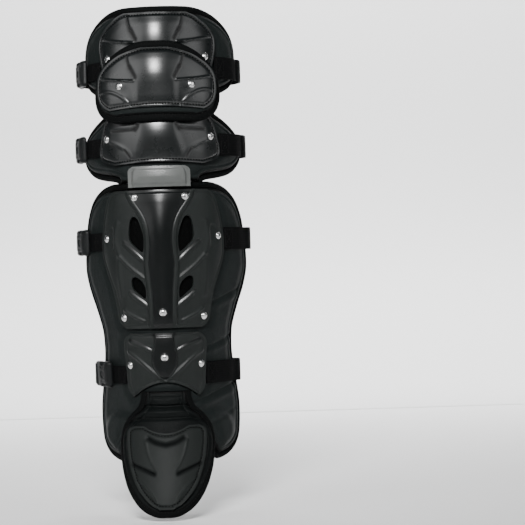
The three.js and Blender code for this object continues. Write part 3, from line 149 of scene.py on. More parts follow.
def distance(x, y, points, closed=False):
    """Distance to a line through points."""
    best = np.full(np.shape(x), 1e9)
    following = points[1:] + points[:1] if closed else points[1:]
    for (x0, y0), (x1, y1) in zip(points, following):
        dx, dy = x1 - x0, y1 - y0
        t = np.clip(((x - x0) * dx + (y - y0) * dy) / (dx * dx + dy * dy + 1e-12), 0, 1)
        best = np.minimum(best, np.hypot(x - x0 - t * dx, y - y0 - t * dy))
    return best


def inside(x, y, corners):
    hit = np.zeros(np.shape(x), bool)
    for (x0, y0), (x1, y1) in zip(corners, corners[1:] + corners[:1]):
        if y0 != y1:
            crossed = (y0 > y) != (y1 > y)
            hit ^= crossed & (x < (x1 - x0) * (y - y0) / (y1 - y0) + x0)
    return hit


def rounded(points, closed=False, times=2):
    """The same line with its corners cut off."""
    for _ in range(times):
        following = points[1:] + points[:1] if closed else points[1:]
        cut = []
        for (x0, y0), (x1, y1) in zip(points, following):
            cut += [(0.75 * x0 + 0.25 * x1, 0.75 * y0 + 0.25 * y1)]
            cut += [(0.25 * x0 + 0.75 * x1, 0.25 * y0 + 0.75 * y1)]
        points = cut if closed else [points[0]] + cut + [points[-1]]
    return points


def swell(x, y, centre, size, height):
    return height * np.exp(-(((x - centre[0]) / size[0]) ** 2) - ((y - centre[1]) / size[1]) ** 2)


def pressed(x, y, points, height, width=1.4):
    """A ridge, or a groove when the height is negative, along a line."""
    return height * np.exp(-((distance(x, y, rounded(points)) / width) ** 2))


def field(x, y, corners, height, soft=1.2):
    """A raised area with soft sides; one that starts on the centre line is mirrored over it."""
    if corners[0][0] == 0:
        corners = corners + [(-a, b) for a, b in reversed(corners) if a > 0]
    corners = rounded(corners, closed=True)
    away = distance(x, y, corners, closed=True)
    depth = np.where(inside(x, y, corners), away, -away)
    return height * ease((depth + soft) / (2 * soft))


print("smooth curve at the middle of a table:", float(smooth(0.5, [(0, 0), (0.4, 0.9), (1, 1)])))

# %% [markdown]
# A pad or a shell is a panel: a height, a half width that changes on the way down, and a seat, its
# distance from the leg. The outline tables give shares, first of the height and then of the half
# width. Distances from the edge are measured along the curved surface, so that hems and seams keep
# their width where a wing turns away from view.

# %% Panels laid round the leg
LEAN_REACH = 48.0  # how far the toe end stands forward
FLAP_TOP = -145.2
FLAP_HEIGHT = 129.0


class Panel:
    def __init__(self, top, height, half, seat, wall, outline, arch=None, lean=False):
        self.top, self.height, self.half = top, height, half
        self.seat, self.wall, self.outline = seat, wall, outline
        self.arch = arch or (lambda share, at: 0 * share)
        self.lean = lean
        self.edge = self.rim()

    def spread(self, u, v):
        """Front-view position of a point: u from side to side, v down the height."""
        share = smooth(v, self.outline)
        z = self.top - v * self.height + self.arch(np.abs(u) * share, v)
        return u * share * self.half, z

    def place(self, x, z, depth):
        point = on_leg(arc_of(x, z, self.seat + self.wall), z, depth)
        if self.lean:
            down = (FLAP_TOP - z) / FLAP_HEIGHT
            point[..., 1] -= LEAN_REACH * np.maximum(0, (down - 0.13) / 0.87)
        return point

    def rim(self, count=70):
        """Walk round the outline, clockwise as seen from the front."""
        along = np.linspace(0, 1, count + 1)[:-1]
        close = 0.5 - 0.5 * np.cos(np.pi * along)
        one = np.ones(count)
        u = np.concatenate([2 * along - 1, one, 1 - 2 * along, -one])
        v = np.concatenate([0 * one, close, one, 1 - close])
        return np.stack(self.spread(u, v), -1)

    def from_edge(self, x, z):
        """Distance from the outline along the surface, negative outside it."""
        reference = self.seat + self.wall
        line = [(float(arc_of(a, b, reference)), float(b)) for a, b in self.edge]
        s = arc_of(x, z, reference)
        away = distance(s, z, line, closed=True)
        return np.where(inside(s, z, line), away, -away)


KNEE_WALL = 12.0
SHIN_WALL = 10.0
SEAT_GAP = 0.55
SHELL_WALL = 3.0
RIM_WALL = 5.6
KNEE_SEAT = KNEE_WALL + SEAT_GAP
SHIN_SEAT = SHIN_WALL + SEAT_GAP
MIDDLE_SEAT = 16.8
CUP_ARCH = 4.0


def lower_arch(rise, start):
    return lambda share, at: rise * (1 - share**2) * np.maximum(0, (at - start) / (1 - start))


def ankle_notch(share, at):
    inner = np.maximum(0, 1 - (share / 0.62) ** 2)
    return 52 * inner * np.maximum(0, (at - 0.72) / 0.28) ** 1.5


UPPER_PAD = Panel(KNEE_TOP, 90.2, 87, 0, KNEE_WALL, [
    (0, 0.49), (0.03, 0.65), (0.08, 0.77), (0.16, 0.87), (0.27, 0.95), (0.4, 0.99),
    (0.55, 1), (0.7, 1), (0.82, 0.96), (0.9, 0.86), (0.96, 0.72), (1, 0.56)])
MIDDLE_PAD = Panel(234.1, 77.5, 68, MIDDLE_SEAT, 10, [
    (0, 0.22), (0.03, 0.38), (0.08, 0.53), (0.16, 0.69), (0.27, 0.83), (0.4, 0.93),
    (0.55, 0.99), (0.7, 1), (0.83, 0.96), (0.93, 0.86), (1, 0.68)], lower_arch(0.7 * CUP_ARCH, 0.7))
LOWER_PAD = Panel(173.6, 87, 90.5, 0, KNEE_WALL, [
    (0, 0.52), (0.07, 0.58), (0.15, 0.66), (0.22, 0.755), (0.32, 0.875), (0.42, 0.955), (0.53, 1),
    (0.66, 1), (0.76, 0.955), (0.83, 0.88), (0.87, 0.76), (0.9, 0.61), (0.94, 0.52), (1, 0.5)])
SHIN_PAD = Panel(79.2, 299, 92, 0, SHIN_WALL, [
    (0, 0.64), (0.01, 0.74), (0.024, 0.81), (0.06, 0.895), (0.12, 0.955), (0.17, 0.975), (0.23, 0.995),
    (0.285, 1), (0.36, 0.955), (0.42, 0.89), (0.47, 0.84), (0.53, 0.795), (0.6, 0.785), (0.68, 0.805),
    (0.76, 0.84), (0.83, 0.86), (0.88, 0.857), (0.93, 0.845), (0.96, 0.81), (0.985, 0.74),
    (1, 0.62)], ankle_notch)
FLAP_PAD = Panel(FLAP_TOP, FLAP_HEIGHT, 51.5, SHIN_SEAT, 8, [
    (0, 0.46), (0.08, 0.49), (0.125, 0.53), (0.15, 0.57), (0.175, 0.63), (0.21, 0.74), (0.24, 0.82),
    (0.27, 0.88), (0.34, 0.965), (0.43, 1), (0.58, 0.975), (0.73, 0.88), (0.81, 0.79), (0.88, 0.67),
    (0.94, 0.52), (0.98, 0.34), (1, 0.2)], lean=True)
print("shin pad outline:", len(SHIN_PAD.edge), "points")

# %% [markdown]
# The shells follow the same scheme. The middle cup stands in front of its pad, and the pad in front
# of the other two cups, which is what lets the real guard fold at the knee.

# %% Outlines of the shells
def toe_edge(share, at):
    dip = np.maximum(0, 1 - (share / 0.55) ** 2)
    shoulder = np.maximum(0, (share - 0.8) / 0.2)
    return -8 * (dip + 0.4 * shoulder) * np.maximum(0, 1 - at / 0.3)


def instep_arch(share, at):
    return 16 * np.maximum(0, 1 - (share / 0.8) ** 2) * np.maximum(0, (at - 0.5) / 0.5)


UPPER_CUP = Panel(274.5, 70.4, 65, KNEE_SEAT, SHELL_WALL, [
    (0, 0.53), (0.047, 0.66), (0.109, 0.75), (0.199, 0.87), (0.375, 0.99), (0.474, 1), (0.527, 1),
    (0.747, 0.97), (1, 0.88)])
MIDDLE_CUP = Panel(233.5, 69.3, 67.5, MIDDLE_SEAT + 10 + SEAT_GAP, SHELL_WALL, [
    (0, 0.22), (0.035, 0.38), (0.1, 0.59), (0.19, 0.75), (0.29, 0.88), (0.4, 0.96), (0.5, 0.99),
    (0.66, 1), (0.82, 0.97), (0.93, 0.89), (1, 0.79)], lower_arch(CUP_ARCH, 0.6))
LOWER_CUP = Panel(161.6, 57.2, 67, KNEE_SEAT, SHELL_WALL, [
    (0, 0.78), (0.129, 0.89), (0.215, 0.92), (0.348, 0.95), (0.482, 0.97), (0.607, 0.99), (0.733, 1),
    (0.859, 0.96), (1, 0.74)], lower_arch(CUP_ARCH, 0.5))
SHIN_PLATE = Panel(77.6, 153, 68, SHIN_SEAT, SHELL_WALL, [
    (0, 0.76), (0.03, 0.85), (0.08, 0.9), (0.13, 0.925), (0.18, 0.95), (0.24, 0.97), (0.31, 0.99),
    (0.38, 1), (0.44, 1), (0.49, 0.985), (0.55, 0.95), (0.61, 0.91), (0.67, 0.865), (0.735, 0.82),
    (0.8, 0.79), (0.86, 0.765), (0.92, 0.745), (0.97, 0.7), (1, 0.62)])
ANKLE_PLATE = Panel(-80.9, 70.4, 46, SHIN_SEAT, SHELL_WALL, [
    (0, 0.84), (0.06, 0.95), (0.15, 1), (0.24, 1), (0.32, 0.99), (0.46, 0.975), (0.6, 0.965),
    (0.74, 0.955), (0.88, 0.925), (1, 0.8)], instep_arch)
TOE_CAP = Panel(-182.2, 87, 44, SHIN_SEAT + 8 + SEAT_GAP, SHELL_WALL, [
    (0, 0.92), (0.04, 0.99), (0.1, 1), (0.18, 1), (0.28, 0.985), (0.38, 0.965), (0.45, 0.93),
    (0.52, 0.9), (0.64, 0.82), (0.75, 0.72), (0.85, 0.57), (0.94, 0.39), (1, 0.17)], toe_edge, lean=True)
BRIDGE = Panel(103.8, 23, 34.5, KNEE_SEAT, 3.4, [(0, 0.84), (0.1, 0.95), (0.24, 1), (1, 1)])
CUPS = [UPPER_CUP, MIDDLE_CUP, LOWER_CUP]
print("cup widths in millimetres:", [round(2 * cup.half) for cup in CUPS])

# %% [markdown]
# Now the finishes. Arithmetic between shader values is much easier to read as a formula than as
# a chain of nodes, so a small class gives a socket the usual operators. One method makes any
# other node: its settings first, then what goes into its sockets.

# %% A small language for finishes
class Value:
    def __init__(self, look, socket):
        self.look, self.socket = look, socket

    def __add__(self, other):
        return self.look.maths("ADD", self, other)

    def __sub__(self, other):
        return self.look.maths("SUBTRACT", self, other)

    def __rsub__(self, other):
        return self.look.maths("SUBTRACT", other, self)

    def __mul__(self, other):
        return self.look.maths("MULTIPLY", self, other)

    __radd__, __rmul__ = __add__, __mul__


class Look:
    def __init__(self, name):
        self.material = bpy.data.materials.new(name)
        self.material.use_nodes = True
        self.tree = self.material.node_tree
        self.tree.nodes.clear()

    def node(self, kind, settings, sockets, out=0):
        made = self.tree.nodes.new(kind)
        for key, value in settings.items():
            setattr(made, key, value)
        for key, value in sockets.items():
            if isinstance(value, Value):
                self.tree.links.new(value.socket, made.inputs[key])
            else:
                made.inputs[key].default_value = value
        return Value(self, made.outputs[out])

    def maths(self, operation, *values):
        return self.node("ShaderNodeMath", {"operation": operation}, dict(enumerate(values)))

    def limited(self, value, low, high):
        sockets = {"Value": value, "From Min": low, "From Max": high}
        return self.node("ShaderNodeMapRange", {"clamp": True}, sockets)

    def here(self):
        return self.node("ShaderNodeTexCoord", {}, {}, "Object")

    def own(self, name="UVMap"):
        return self.node("ShaderNodeUVMap", {"uv_map": name}, {})

    def mark(self, name):
        return self.node("ShaderNodeAttribute", {"attribute_name": name}, {}, "Fac")

    def split(self, vector, axis):
        return self.node("ShaderNodeSeparateXYZ", {}, {0: vector}, axis)

    def grain(self, scale, detail=3.0, vector=None, rough=0.55):
        sockets = {"Vector": vector or self.here(), "Scale": scale, "Detail": detail, "Roughness": rough}
        return self.node("ShaderNodeTexNoise", {}, sockets, "Fac")

    def cells(self, scale, vector=None):
        sockets = {"Vector": vector or self.here(), "Scale": scale}
        return self.node("ShaderNodeTexVoronoi", {"feature": "F1"}, sockets, "Distance")

    def mixed(self, part, low, high):
        settings = {"data_type": "RGBA"}
        return self.node("ShaderNodeMix", settings, {0: part, 6: (*low, 1), 7: (*high, 1)}, 2)

    def raised(self, height, reach, strength=1.0):
        sockets = {"Height": height, "Distance": reach, "Strength": strength}
        return self.node("ShaderNodeBump", {}, sockets, "Normal")

    def surface(self, **sockets):
        named = {key.replace("_", " "): value for key, value in sockets.items()}
        shader = self.node("ShaderNodeBsdfPrincipled", {}, named, "BSDF")
        end = self.tree.nodes.new("ShaderNodeOutputMaterial")
        self.tree.links.new(shader.socket, end.inputs["Surface"])
        return self.material


print("operators ready")

# %% [markdown]
# The knee cups are polished black plastic, with the faint ripple that a mould leaves. The shin,
# ankle and toe shells are the same plastic with an etched, satin skin, apart from the shin's centre
# ridge and the ankle's shield, which are polished. A mark painted on the mesh tells them apart, and
# a second one paints shade into the deep grooves and a few bands: there the colour goes near black
# and the surface is dulled.

# %% Finishes of the shells
def gloss_plastic():
    look = Look("Polished cup plastic")
    painted_shade = look.mark("painted_shade")
    ripple = look.grain(55, 2) * 0.6 + look.grain(420, 2) * 0.06
    worn = look.limited(look.grain(26, 5), 0.45, 0.75)
    return look.surface(
        # The second mark's colour is painted shade: the grooves go near black.
        Base_Color=look.mixed(painted_shade, (0.0014, 0.0024, 0.0024), (0.0002, 0.0003, 0.0003)),
        Roughness=0.26 + 0.05 * worn + 0.02 * look.grain(900, 2) + 0.65 * painted_shade,
        Coat_Weight=0.5 - 0.5 * painted_shade,
        Coat_Roughness=0.33,
        Normal=look.raised(ripple, 0.0006, 0.4),
    )


def satin_plastic(name, roughness, shine):
    look = Look(name)
    polish = look.limited(look.mark("polish"), 0.3, 0.7)
    painted_shade = look.mark("painted_shade")
    etched = look.grain(2600, 2)
    worn = look.grain(40, 5)
    polish_and_painted_shade = look.limited(polish + painted_shade, 0, 1)
    relief = etched * (1 - polish) * 0.5 + look.grain(60, 2) * 1.2
    return look.surface(
        # Polish darkens the colour as the polished finish does; the second mark adds painted shade in
        # grooves and bands.
        Base_Color=look.mixed(polish_and_painted_shade, (0.0088, 0.0106, 0.01), (0.001, 0.0017, 0.0017)),
        Roughness=roughness + 0.08 * worn - 0.12 * polish + 0.5 * painted_shade,
        Specular_IOR_Level=shine,
        Coat_Weight=0.35 * polish,
        Coat_Roughness=0.3,
        Normal=look.raised(relief, 0.0003, 0.6),
    )


def bridge_vinyl():
    look = Look("Grey bridge vinyl")
    pebble = look.cells(900)
    return look.surface(
        Base_Color=look.mixed(look.grain(60, 4), (0.06, 0.064, 0.061), (0.088, 0.092, 0.089)),
        Roughness=0.3 + 0.1 * look.grain(300, 3),
        Normal=look.raised(pebble, 0.0003, 0.5),
    )


GLOSS, VINYL = gloss_plastic(), bridge_vinyl()
SATIN = satin_plastic("Satin shell plastic", 0.38, 0.19)
MATT = satin_plastic("Matt toe plastic", 0.5, 0.14)
print("shell finishes:", [m.name for m in (GLOSS, SATIN, MATT, VINYL)])

# %% [markdown]
# The pads are covered with a coated cloth, a dark grey with a little green in it, and lined with
# an open knit. The flap's cloth is the same cloth made darker, as painted shade for the shade the
# flap lies in, and the hem's is black. The hems are bound with ribbed tape. The thread on the tape
# is a shade lighter than it, and the thread on the shells is black.

# %% Finishes of cloth, tape, webbing and metal
def pad_cloth(name, low, high):
    look = Look(name)
    pebble = look.cells(1100)
    weave = look.grain(1900, 2)
    tone = look.grain(32, 4)
    return look.surface(
        Base_Color=look.mixed(tone, low, high),
        Roughness=0.44 + 0.16 * look.grain(210, 3),
        Specular_IOR_Level=0.08,
        Normal=look.raised(pebble + 0.4 * weave, 0.00035, 0.7),
    )


def knit_lining():
    look = Look("Knit lining")
    holes = look.limited(look.cells(420), 0.25, 0.6)
    return look.surface(
        Base_Color=look.mixed(holes, (0.006, 0.006, 0.007), (0.03, 0.032, 0.034)),
        Roughness=0.85,
        Specular_IOR_Level=0.2,
        Normal=look.raised(holes, 0.0004, 0.8),
    )


def ribbed(name, colour, light, rib, fine, roughness):
    """Woven band: ribs across its length, each crossed by fine threads. The map is in millimetres."""
    look = Look(name)
    place = look.own()
    along, across = look.split(place, 0), look.split(place, 1)
    zigzag = look.maths("PINGPONG", across * fine, 1.0)
    ribs = look.maths("PINGPONG", along * rib + zigzag * 0.5, 1.0)
    threads = ribs * 0.7 + zigzag * 0.3
    fuzz = look.grain(2400, 3)
    return look.surface(
        Base_Color=look.mixed(threads * 0.7 + fuzz * 0.3, colour, light),
        Roughness=roughness + 0.1 * fuzz,
        Specular_IOR_Level=0.03,
        Normal=look.raised(threads + 0.3 * fuzz, 0.0004, 0.8),
    )


def nickel():
    look = Look("Nickel rivet")
    worn = look.grain(700, 4)
    return look.surface(
        Base_Color=(0.74, 0.74, 0.73, 1),
        Metallic=1.0,
        Roughness=0.16 + 0.16 * worn,
        Normal=look.raised(worn, 0.00006, 0.4),
    )


def thread(name, low, high):
    look = Look(name)
    twist = look.grain(3200, 2)
    colour = look.mixed(twist, (low, low, low), (high, high, high))
    return look.surface(Base_Color=colour, Roughness=0.7, Specular_IOR_Level=0.04)


def vent_mesh():
    look = Look("Vent mesh")
    holes = look.limited(look.cells(700), 0.2, 0.5)
    colour = look.mixed(holes, (0.0006, 0.0006, 0.0006), (0.0022, 0.0024, 0.0024))
    return look.surface(Base_Color=colour, Roughness=0.9, Specular_IOR_Level=0.02)


def buckle_plastic():
    look = Look("Buckle plastic")
    etched = look.grain(2000, 2)
    return look.surface(
        Base_Color=look.mixed(look.grain(90, 4), (0.004, 0.0048, 0.005), (0.0075, 0.0085, 0.0088)),
        Roughness=0.36 + 0.12 * look.grain(160, 3),
        Specular_IOR_Level=0.16,
        Normal=look.raised(etched, 0.00015, 0.5),
    )


CLOTH = pad_cloth("Coated pad cloth", (0.0058, 0.0078, 0.0076), (0.0092, 0.0116, 0.0114))
# Painted shade: the pad cloth again, made darker for the flap, which lies in shade.
SHADED_FLAP_CLOTH = pad_cloth("Flap cloth with painted shade", (0.0018, 0.0026, 0.0025), (0.0032, 0.0042, 0.0041))
HEM_CLOTH = pad_cloth("Black hem cloth", (0.0005, 0.0006, 0.0006), (0.0012, 0.0014, 0.0014))
LINING, NICKEL = knit_lining(), nickel()
TAPE = ribbed("Binding tape", (0.0012, 0.0014, 0.0014), (0.0045, 0.005, 0.005), 1.1, 1.6, 0.6)
WEBBING = ribbed("Strap webbing", (0.0012, 0.0012, 0.0014), (0.005, 0.0053, 0.0055), 0.9, 0.8, 0.64)
THREAD, BLACK_THREAD = thread("Seam thread", 0.004, 0.012), thread("Black thread", 0.0005, 0.0015)
BUCKLE, SCREEN = buckle_plastic(), vent_mesh()
print("finishes:", len(bpy.data.materials))

# %% [markdown]
# Every mesh starts as a flat grid. Its own coordinates are read back into arrays, moved to the
# panel's outline, and lifted. The rows and columns crowd towards the edge, where a pad rounds
# over and a shell has its lip.

# %% From a grid to a piece
def flat_grid(bm, across, down):
    """A grid and its coordinates from -1 to 1; rows and columns are closer near the edges."""
    verts = bmesh.ops.create_grid(bm, x_segments=across, y_segments=down, size=1)["verts"]
    place = np.array([v.co[:2] for v in verts])
    span = place.max(0) - place.min(0)
    place = 2 * (place - place.min(0)) / span - 1
    place = 0.6 * place + 0.4 * np.sin(place * math.pi / 2)
    return verts, place[:, 0], place[:, 1]


def move(verts, points):
    for vert, point in zip(verts, points):
        vert.co = point


def keep(bm, name, looks, nodes, smooth_faces=True):
    """Writes the mesh in metres and enters the piece in the guard's frame."""
    bmesh.ops.transform(bm, matrix=Matrix.Scale(MM, 4), verts=bm.verts)
    for face in bm.faces:
        face.smooth = smooth_faces
    mesh = bpy.data.meshes.new(name)
    bm.to_mesh(mesh)
    bm.free()
    for look in looks:
        mesh.materials.append(look)
    piece = bpy.data.objects.new(name.replace(" ", "_"), mesh)
    bpy.context.scene.collection.objects.link(piece)
    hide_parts(*nodes)
    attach(piece, "root")
    return piece


def crown(piece, wall, lip=0.7):
    """Gives a sheet its wall and rounds the lip."""
    thick = piece.modifiers.new("wall", "SOLIDIFY")
    thick.thickness = wall * MM
    thick.offset = -1
    bevel = piece.modifiers.new("lip", "BEVEL")
    bevel.width = lip * MM
    bevel.segments = 2
    bevel.limit_method = "ANGLE"
    bevel.angle_limit = math.radians(50)
    return piece


def facing(bm):
    """Turns the faces so that the sheet looks away from the leg."""
    bmesh.ops.recalc_face_normals(bm, faces=bm.faces)
    bm.normal_update()
    total = sum(face.normal.y * face.calc_area() for face in bm.faces)
    if total > 0:
        bmesh.ops.reverse_faces(bm, faces=bm.faces)


print("grid helper ready")

# %% [markdown]
# A shell is made flat first. Where it has vents, the faces inside each vent's outline are taken
# away and the hole's border is drawn onto the outline, which gives a clean edge without cutting.
# Then the sheet is lifted by its relief and wrapped round the leg. A fine groove runs inside its lip.

# %% The shell maker
LIP = 3.0  # from a shell's edge to the line inside its lip
VENT_REACH = 1.6  # how far the border of a cut hole is drawn onto the vent's outline


def hem_groove(edge, depth):
    """Fine line that runs round a shell inside its lip."""
    return depth * (0.6 * ease(1 - edge / LIP) - np.exp(-(((edge - LIP) / 1.0) ** 2)))


class Shell:
    def __init__(self, panel, relief, tuck=0.0, groove=0.3):
        self.panel, self.relief, self.tuck, self.groove = panel, relief, tuck, groove

    def depth(self, x, z):
        panel = self.panel
        edge = np.maximum(0, panel.from_edge(x, z))
        steps = (np.abs(x) / STEP, DATUM - z / STEP)
        lift = self.relief(*steps) * (0.35 + 0.65 * ease(edge / 5))
        crowned = 0.8 * ease(edge / 14) + hem_groove(edge, self.groove)
        return panel.seat + panel.wall + lift + crowned - self.tuck * ease(1 - edge / 7)

    def surface(self, x, z):
        x, z = np.atleast_1d(x).astype(float), np.atleast_1d(z).astype(float)
        return self.panel.place(x, z, self.depth(x, z))

    def spot(self, x, z):
        """Point and outward direction at one place of the shell."""
        e = 0.6
        p = self.surface([x, x + e, x - e, x, x], [z, z, z, z + e, z - e])
        across, up = Vector(p[1] - p[2]), Vector(p[3] - p[4])
        return Vector(p[0]), across.cross(up).normalized()


def shell_piece(name, shell, across, down, look, nodes, vents=(), polish=(), painted_shade=()):
    """Outlines in polish are painted on the mesh, for the finish, and so are the given lines of painted
    shade.
    """
    bm = bmesh.new()
    verts, u, v = flat_grid(bm, across, down)
    x, z = shell.panel.spread(u, (1 - v) / 2)
    move(verts, np.stack([x, z, 0 * x], -1))
    for vent in vents:
        for side in (1, -1):
            corners = [(side * a * STEP, (DATUM - b) * STEP) for a, b in rounded(vent, True, 3)]
            cut_vent(bm, corners)
    flat = np.array([vert.co for vert in bm.verts])
    x, z = flat[:, 0], flat[:, 1]
    move(bm.verts, shell.surface(x, z))
    facing(bm)
    piece = keep(bm, name, [look], nodes)
    right, below = np.abs(x) / STEP, DATUM - z / STEP
    areas = sum((field(right, below, corners, 1, 0.6) for corners in polish), 0 * x)
    # The dark lines are painted shade in grooves and bands, written as the second mark.
    lines = sum((pressed(right, below, points, 1, wide) for points, wide in painted_shade), 0 * x)
    for key, values in (("polish", areas), ("painted_shade", np.minimum(1, lines))):
        mark = piece.data.attributes.new(key, "FLOAT", "POINT")
        mark.data.foreach_set("value", values.astype(np.float32))
    return crown(piece, shell.panel.wall)


def cut_vent(bm, corners):
    centres = np.array([face.calc_center_median() for face in bm.faces])
    hit = inside(centres[:, 0], centres[:, 1], corners)
    bm.faces.ensure_lookup_table()
    gone = [bm.faces[i] for i in np.flatnonzero(hit)]
    bmesh.ops.delete(bm, geom=gone, context="FACES")
    ring = [v for v in bm.verts if v.is_boundary]
    place = np.array([v.co for v in ring])
    near = distance(place[:, 0], place[:, 1], corners, closed=True)
    for vert, gap in zip(ring, near):
        if gap < VENT_REACH:
            vert.co = nearest_on(vert.co, corners)


def nearest_on(point, corners):
    best, found = 1e9, point
    for (x0, y0), (x1, y1) in zip(corners, corners[1:] + corners[:1]):
        a, b = Vector((x0, y0, 0)), Vector((x1, y1, 0))
        t = (point - a).dot(b - a) / max((b - a).length_squared, 1e-9)
        spot = a.lerp(b, min(max(t, 0), 1))
        if (spot - point).length < best:
            best, found = (spot - point).length, spot
    return found


print("shell maker ready")

# %% [markdown]
# The three knee cups share one motif: a swell at the upper centre that narrows downwards like
# a shield, with a pressed groove at each side and a ridge that runs out to the wing.

# %% Knee cups
def upper_relief(x, y):
    lift = field(x, y, [(0, -4), (25, 0), (27.5, 12), (25.5, 23), (21, 33), (17, 44), (0, 48)], 1.0, 4)
    lift += swell(x, y, (0, 30), (23, 24), 5.6)
    lift += pressed(x, y, [(28, 13), (26.5, 21), (23.5, 29)], -0.7, 1.0)
    lift += pressed(x, y, [(24, 28), (19, 38)], -1.0, 1.6)
    lift += pressed(x, y, [(54, 34.5), (38, 39), (21, 41)], 1.3, 1.0)
    return lift * ease((45 - y) / 4)


def middle_relief(x, y):
    shield = [(0, 38), (24, 42), (28, 53), (26, 62), (22, 72), (20, 84), (20, 116), (0, 116)]
    lift = field(x, y, shield, 1.0, 4)
    lift += swell(x, y, (0, 69), (23, 24), 5.6)
    lift += pressed(x, y, [(28.5, 53), (27, 61), (24, 68.5)], -0.7, 1.0)
    lift += pressed(x, y, [(24.5, 67.5), (19, 78)], -1.0, 1.6)
    lift += pressed(x, y, [(54, 77), (38, 80), (21, 81)], 1.3, 1.0)
    lift += pressed(x, y, [(56, 91), (46, 90), (36, 94.5), (28.5, 101), (25.5, 108)], 0.9, 1.5)
    lift += swell(x, y, (33.5, 86), (4.6, 4.6), 0.8)
    return lift


def lower_relief(x, y):
    lift = field(x, y, [(0, 114), (19, 116), (18, 130), (26, 150), (25, 170), (0, 170)], 0.9, 4)
    lift += swell(x, y, (0, 134), (25, 20), 3.6)
    lift += pressed(x, y, [(46, 129.5), (34, 129.5), (22, 129)], -0.8, 0.9)
    lift += pressed(x, y, [(22, 129), (20, 127), (19, 124)], -0.9, 1.4)
    lift += pressed(x, y, [(48, 126), (30, 125.5), (23, 125)], 0.4, 1.6)
    lift += pressed(x, y, [(48, 140), (40, 143), (31, 149), (27, 156)], 0.7, 1.6)
    lift += pressed(x, y, [(33, 149), (28.5, 156)], -0.9, 1.2)
    lift += swell(x, y, (50.5, 136), (5, 5), 0.7)
    return lift * ease((y - 119) / 3)


upper_cup = Shell(UPPER_CUP, upper_relief, groove=0.8)
middle_cup = Shell(MIDDLE_CUP, middle_relief, tuck=1.6, groove=0.8)
lower_cup = Shell(LOWER_CUP, lower_relief, groove=0.8)
# Each cup's dark lines are painted shade in its side grooves and slots.
shell_piece("Upper cup", upper_cup, 150, 84, GLOSS, ["upper_cup"],
            painted_shade=[([(28, 16), (26.5, 23), (24, 29)], 1.2), ([(24, 28), (19, 38)], 2.5)])
shell_piece("Middle cup", middle_cup, 150, 90, GLOSS, ["middle_cup"],
            painted_shade=[([(28.5, 56), (27, 62), (24.5, 68)], 1.2), ([(24.5, 67.5), (19, 78)], 2.5)])
shell_piece("Lower cup", lower_cup, 150, 72, GLOSS, ["lower_cup"],
            painted_shade=[([(46, 129.5), (22, 129)], 1.4), ([(21.5, 128), (19.5, 125)], 2.6),
                  ([(33, 149), (28.5, 156)], 1.5)])
print("knee cups made")

# %% [markdown]
# The shin plate has a polished ridge that flares towards the knee and two vented wings. Below each
# vent a raised, polished lip throws the air and the dirt outward. The ankle plate repeats the ridge
# as a small shield, with a band of painted shade along its top. The toe cap has a slot at each side
# and a fold at its top, both darkened with painted shade.

# %% Shin plate, ankle plate and toe cap
SHIN_RIDGE = [(0, 178), (34, 182), (27, 199), (18, 212), (13.5, 222), (11, 235), (11, 250), (13, 262),
              (12, 275), (10.5, 290), (9.5, 310), (9.5, 346), (0, 346)]
SHIN_BAND = [(x + 4.2 * (x > 0), y) for x, y in SHIN_RIDGE]
UPPER_VENT = [(23.5, 216), (30, 216), (32.5, 229), (32.5, 240), (24.5, 248), (18, 253.5), (16.8, 244),
              (17, 235), (19.5, 226)]
LOWER_VENT = [(24.5, 276.5), (31, 276.5), (31, 288), (23.5, 294), (17.5, 299.5), (16.3, 297), (16.8, 285)]
ANKLE_SHIELD = [(0, 322), (9.3, 324), (9.3, 348), (12.3, 351.5), (12.3, 364), (9, 372), (4, 378),
                (0, 379)]
VENT_LIPS = [[(38, 239), (28, 248.5), (18, 258)], [(33, 289.5), (25, 296.5), (14.8, 304)]]
ANKLE_BROW = [(36, 339.5), (26, 343), (12.5, 349.5)]
TOE_SLOT = [(33.5, 463), (23, 467), (12, 471.5)]
# Painted shade in the toe's slots and in the fold at its top.
TOE_PAINTED_SHADE = [(TOE_SLOT, 2.0), ([(17, 438), (10.5, 442), (0, 444)], 2.4)]


def strip(line, above, below):
    """The area between two heights over and under a line."""
    return [(a, b - above) for a, b in line] + [(a, b + below) for a, b in reversed(line)]


def shin_relief(x, y):
    lift = field(x, y, SHIN_BAND, 2.6, 1.3) - field(x, y, SHIN_RIDGE, 0.7, 0.8)
    lift += swell(x, y, (0, 226), (17, 30), 4.0) + swell(x, y, (0, 285), (8, 80), 1.4)
    for line in VENT_LIPS:
        lift += field(x, y, strip(line, 0, 5), 1.3, 1.5)
    lift += pressed(x, y, [(42.5, 255), (33, 266), (18, 278)], 1.5, 1.7)
    lift += pressed(x, y, [(39, 310), (30, 316), (19.5, 321)], 1.2, 1.5)
    lift += pressed(x, y, [(44, 222), (48, 238), (43, 254), (44, 270), (41, 296)], 1.0, 2.6)
    lift += field(x, y, [(48, 224), (54, 226), (59, 236), (54, 246), (48.5, 250)], -0.9, 1.2)
    return lift


def ankle_relief(x, y):
    lift = field(x, y, ANKLE_SHIELD, 2.4, 0.9)
    lift += field(x, y, strip(ANKLE_BROW, 0, 4), 1.2, 1.5)
    lift += pressed(x, y, [(37, 352), (28, 358), (15, 370), (3, 381)], 1.4, 1.5)
    lift += field(x, y, [(44, 352), (37, 354), (14, 374), (10, 384), (12, 398), (44, 404)], -0.8, 1.4)
    return lift


def toe_relief(x, y):
    lift = swell(x, y, (0, 474), (26, 30), 1.0)
    lift += pressed(x, y, [(18, 437), (11, 441), (0, 443.5)], -1.8, 2.0)
    lift += pressed(x, y, [(20.5, 440), (18.5, 450), (14.5, 460), (9.5, 467.5)], 0.9, 1.2)
    lift += pressed(x, y, TOE_SLOT, -2.6, 1.5)
    lift += pressed(x, y, [(29, 476), (20, 483), (12.5, 493), (7.5, 505)], 1.5, 1.2)
    return lift


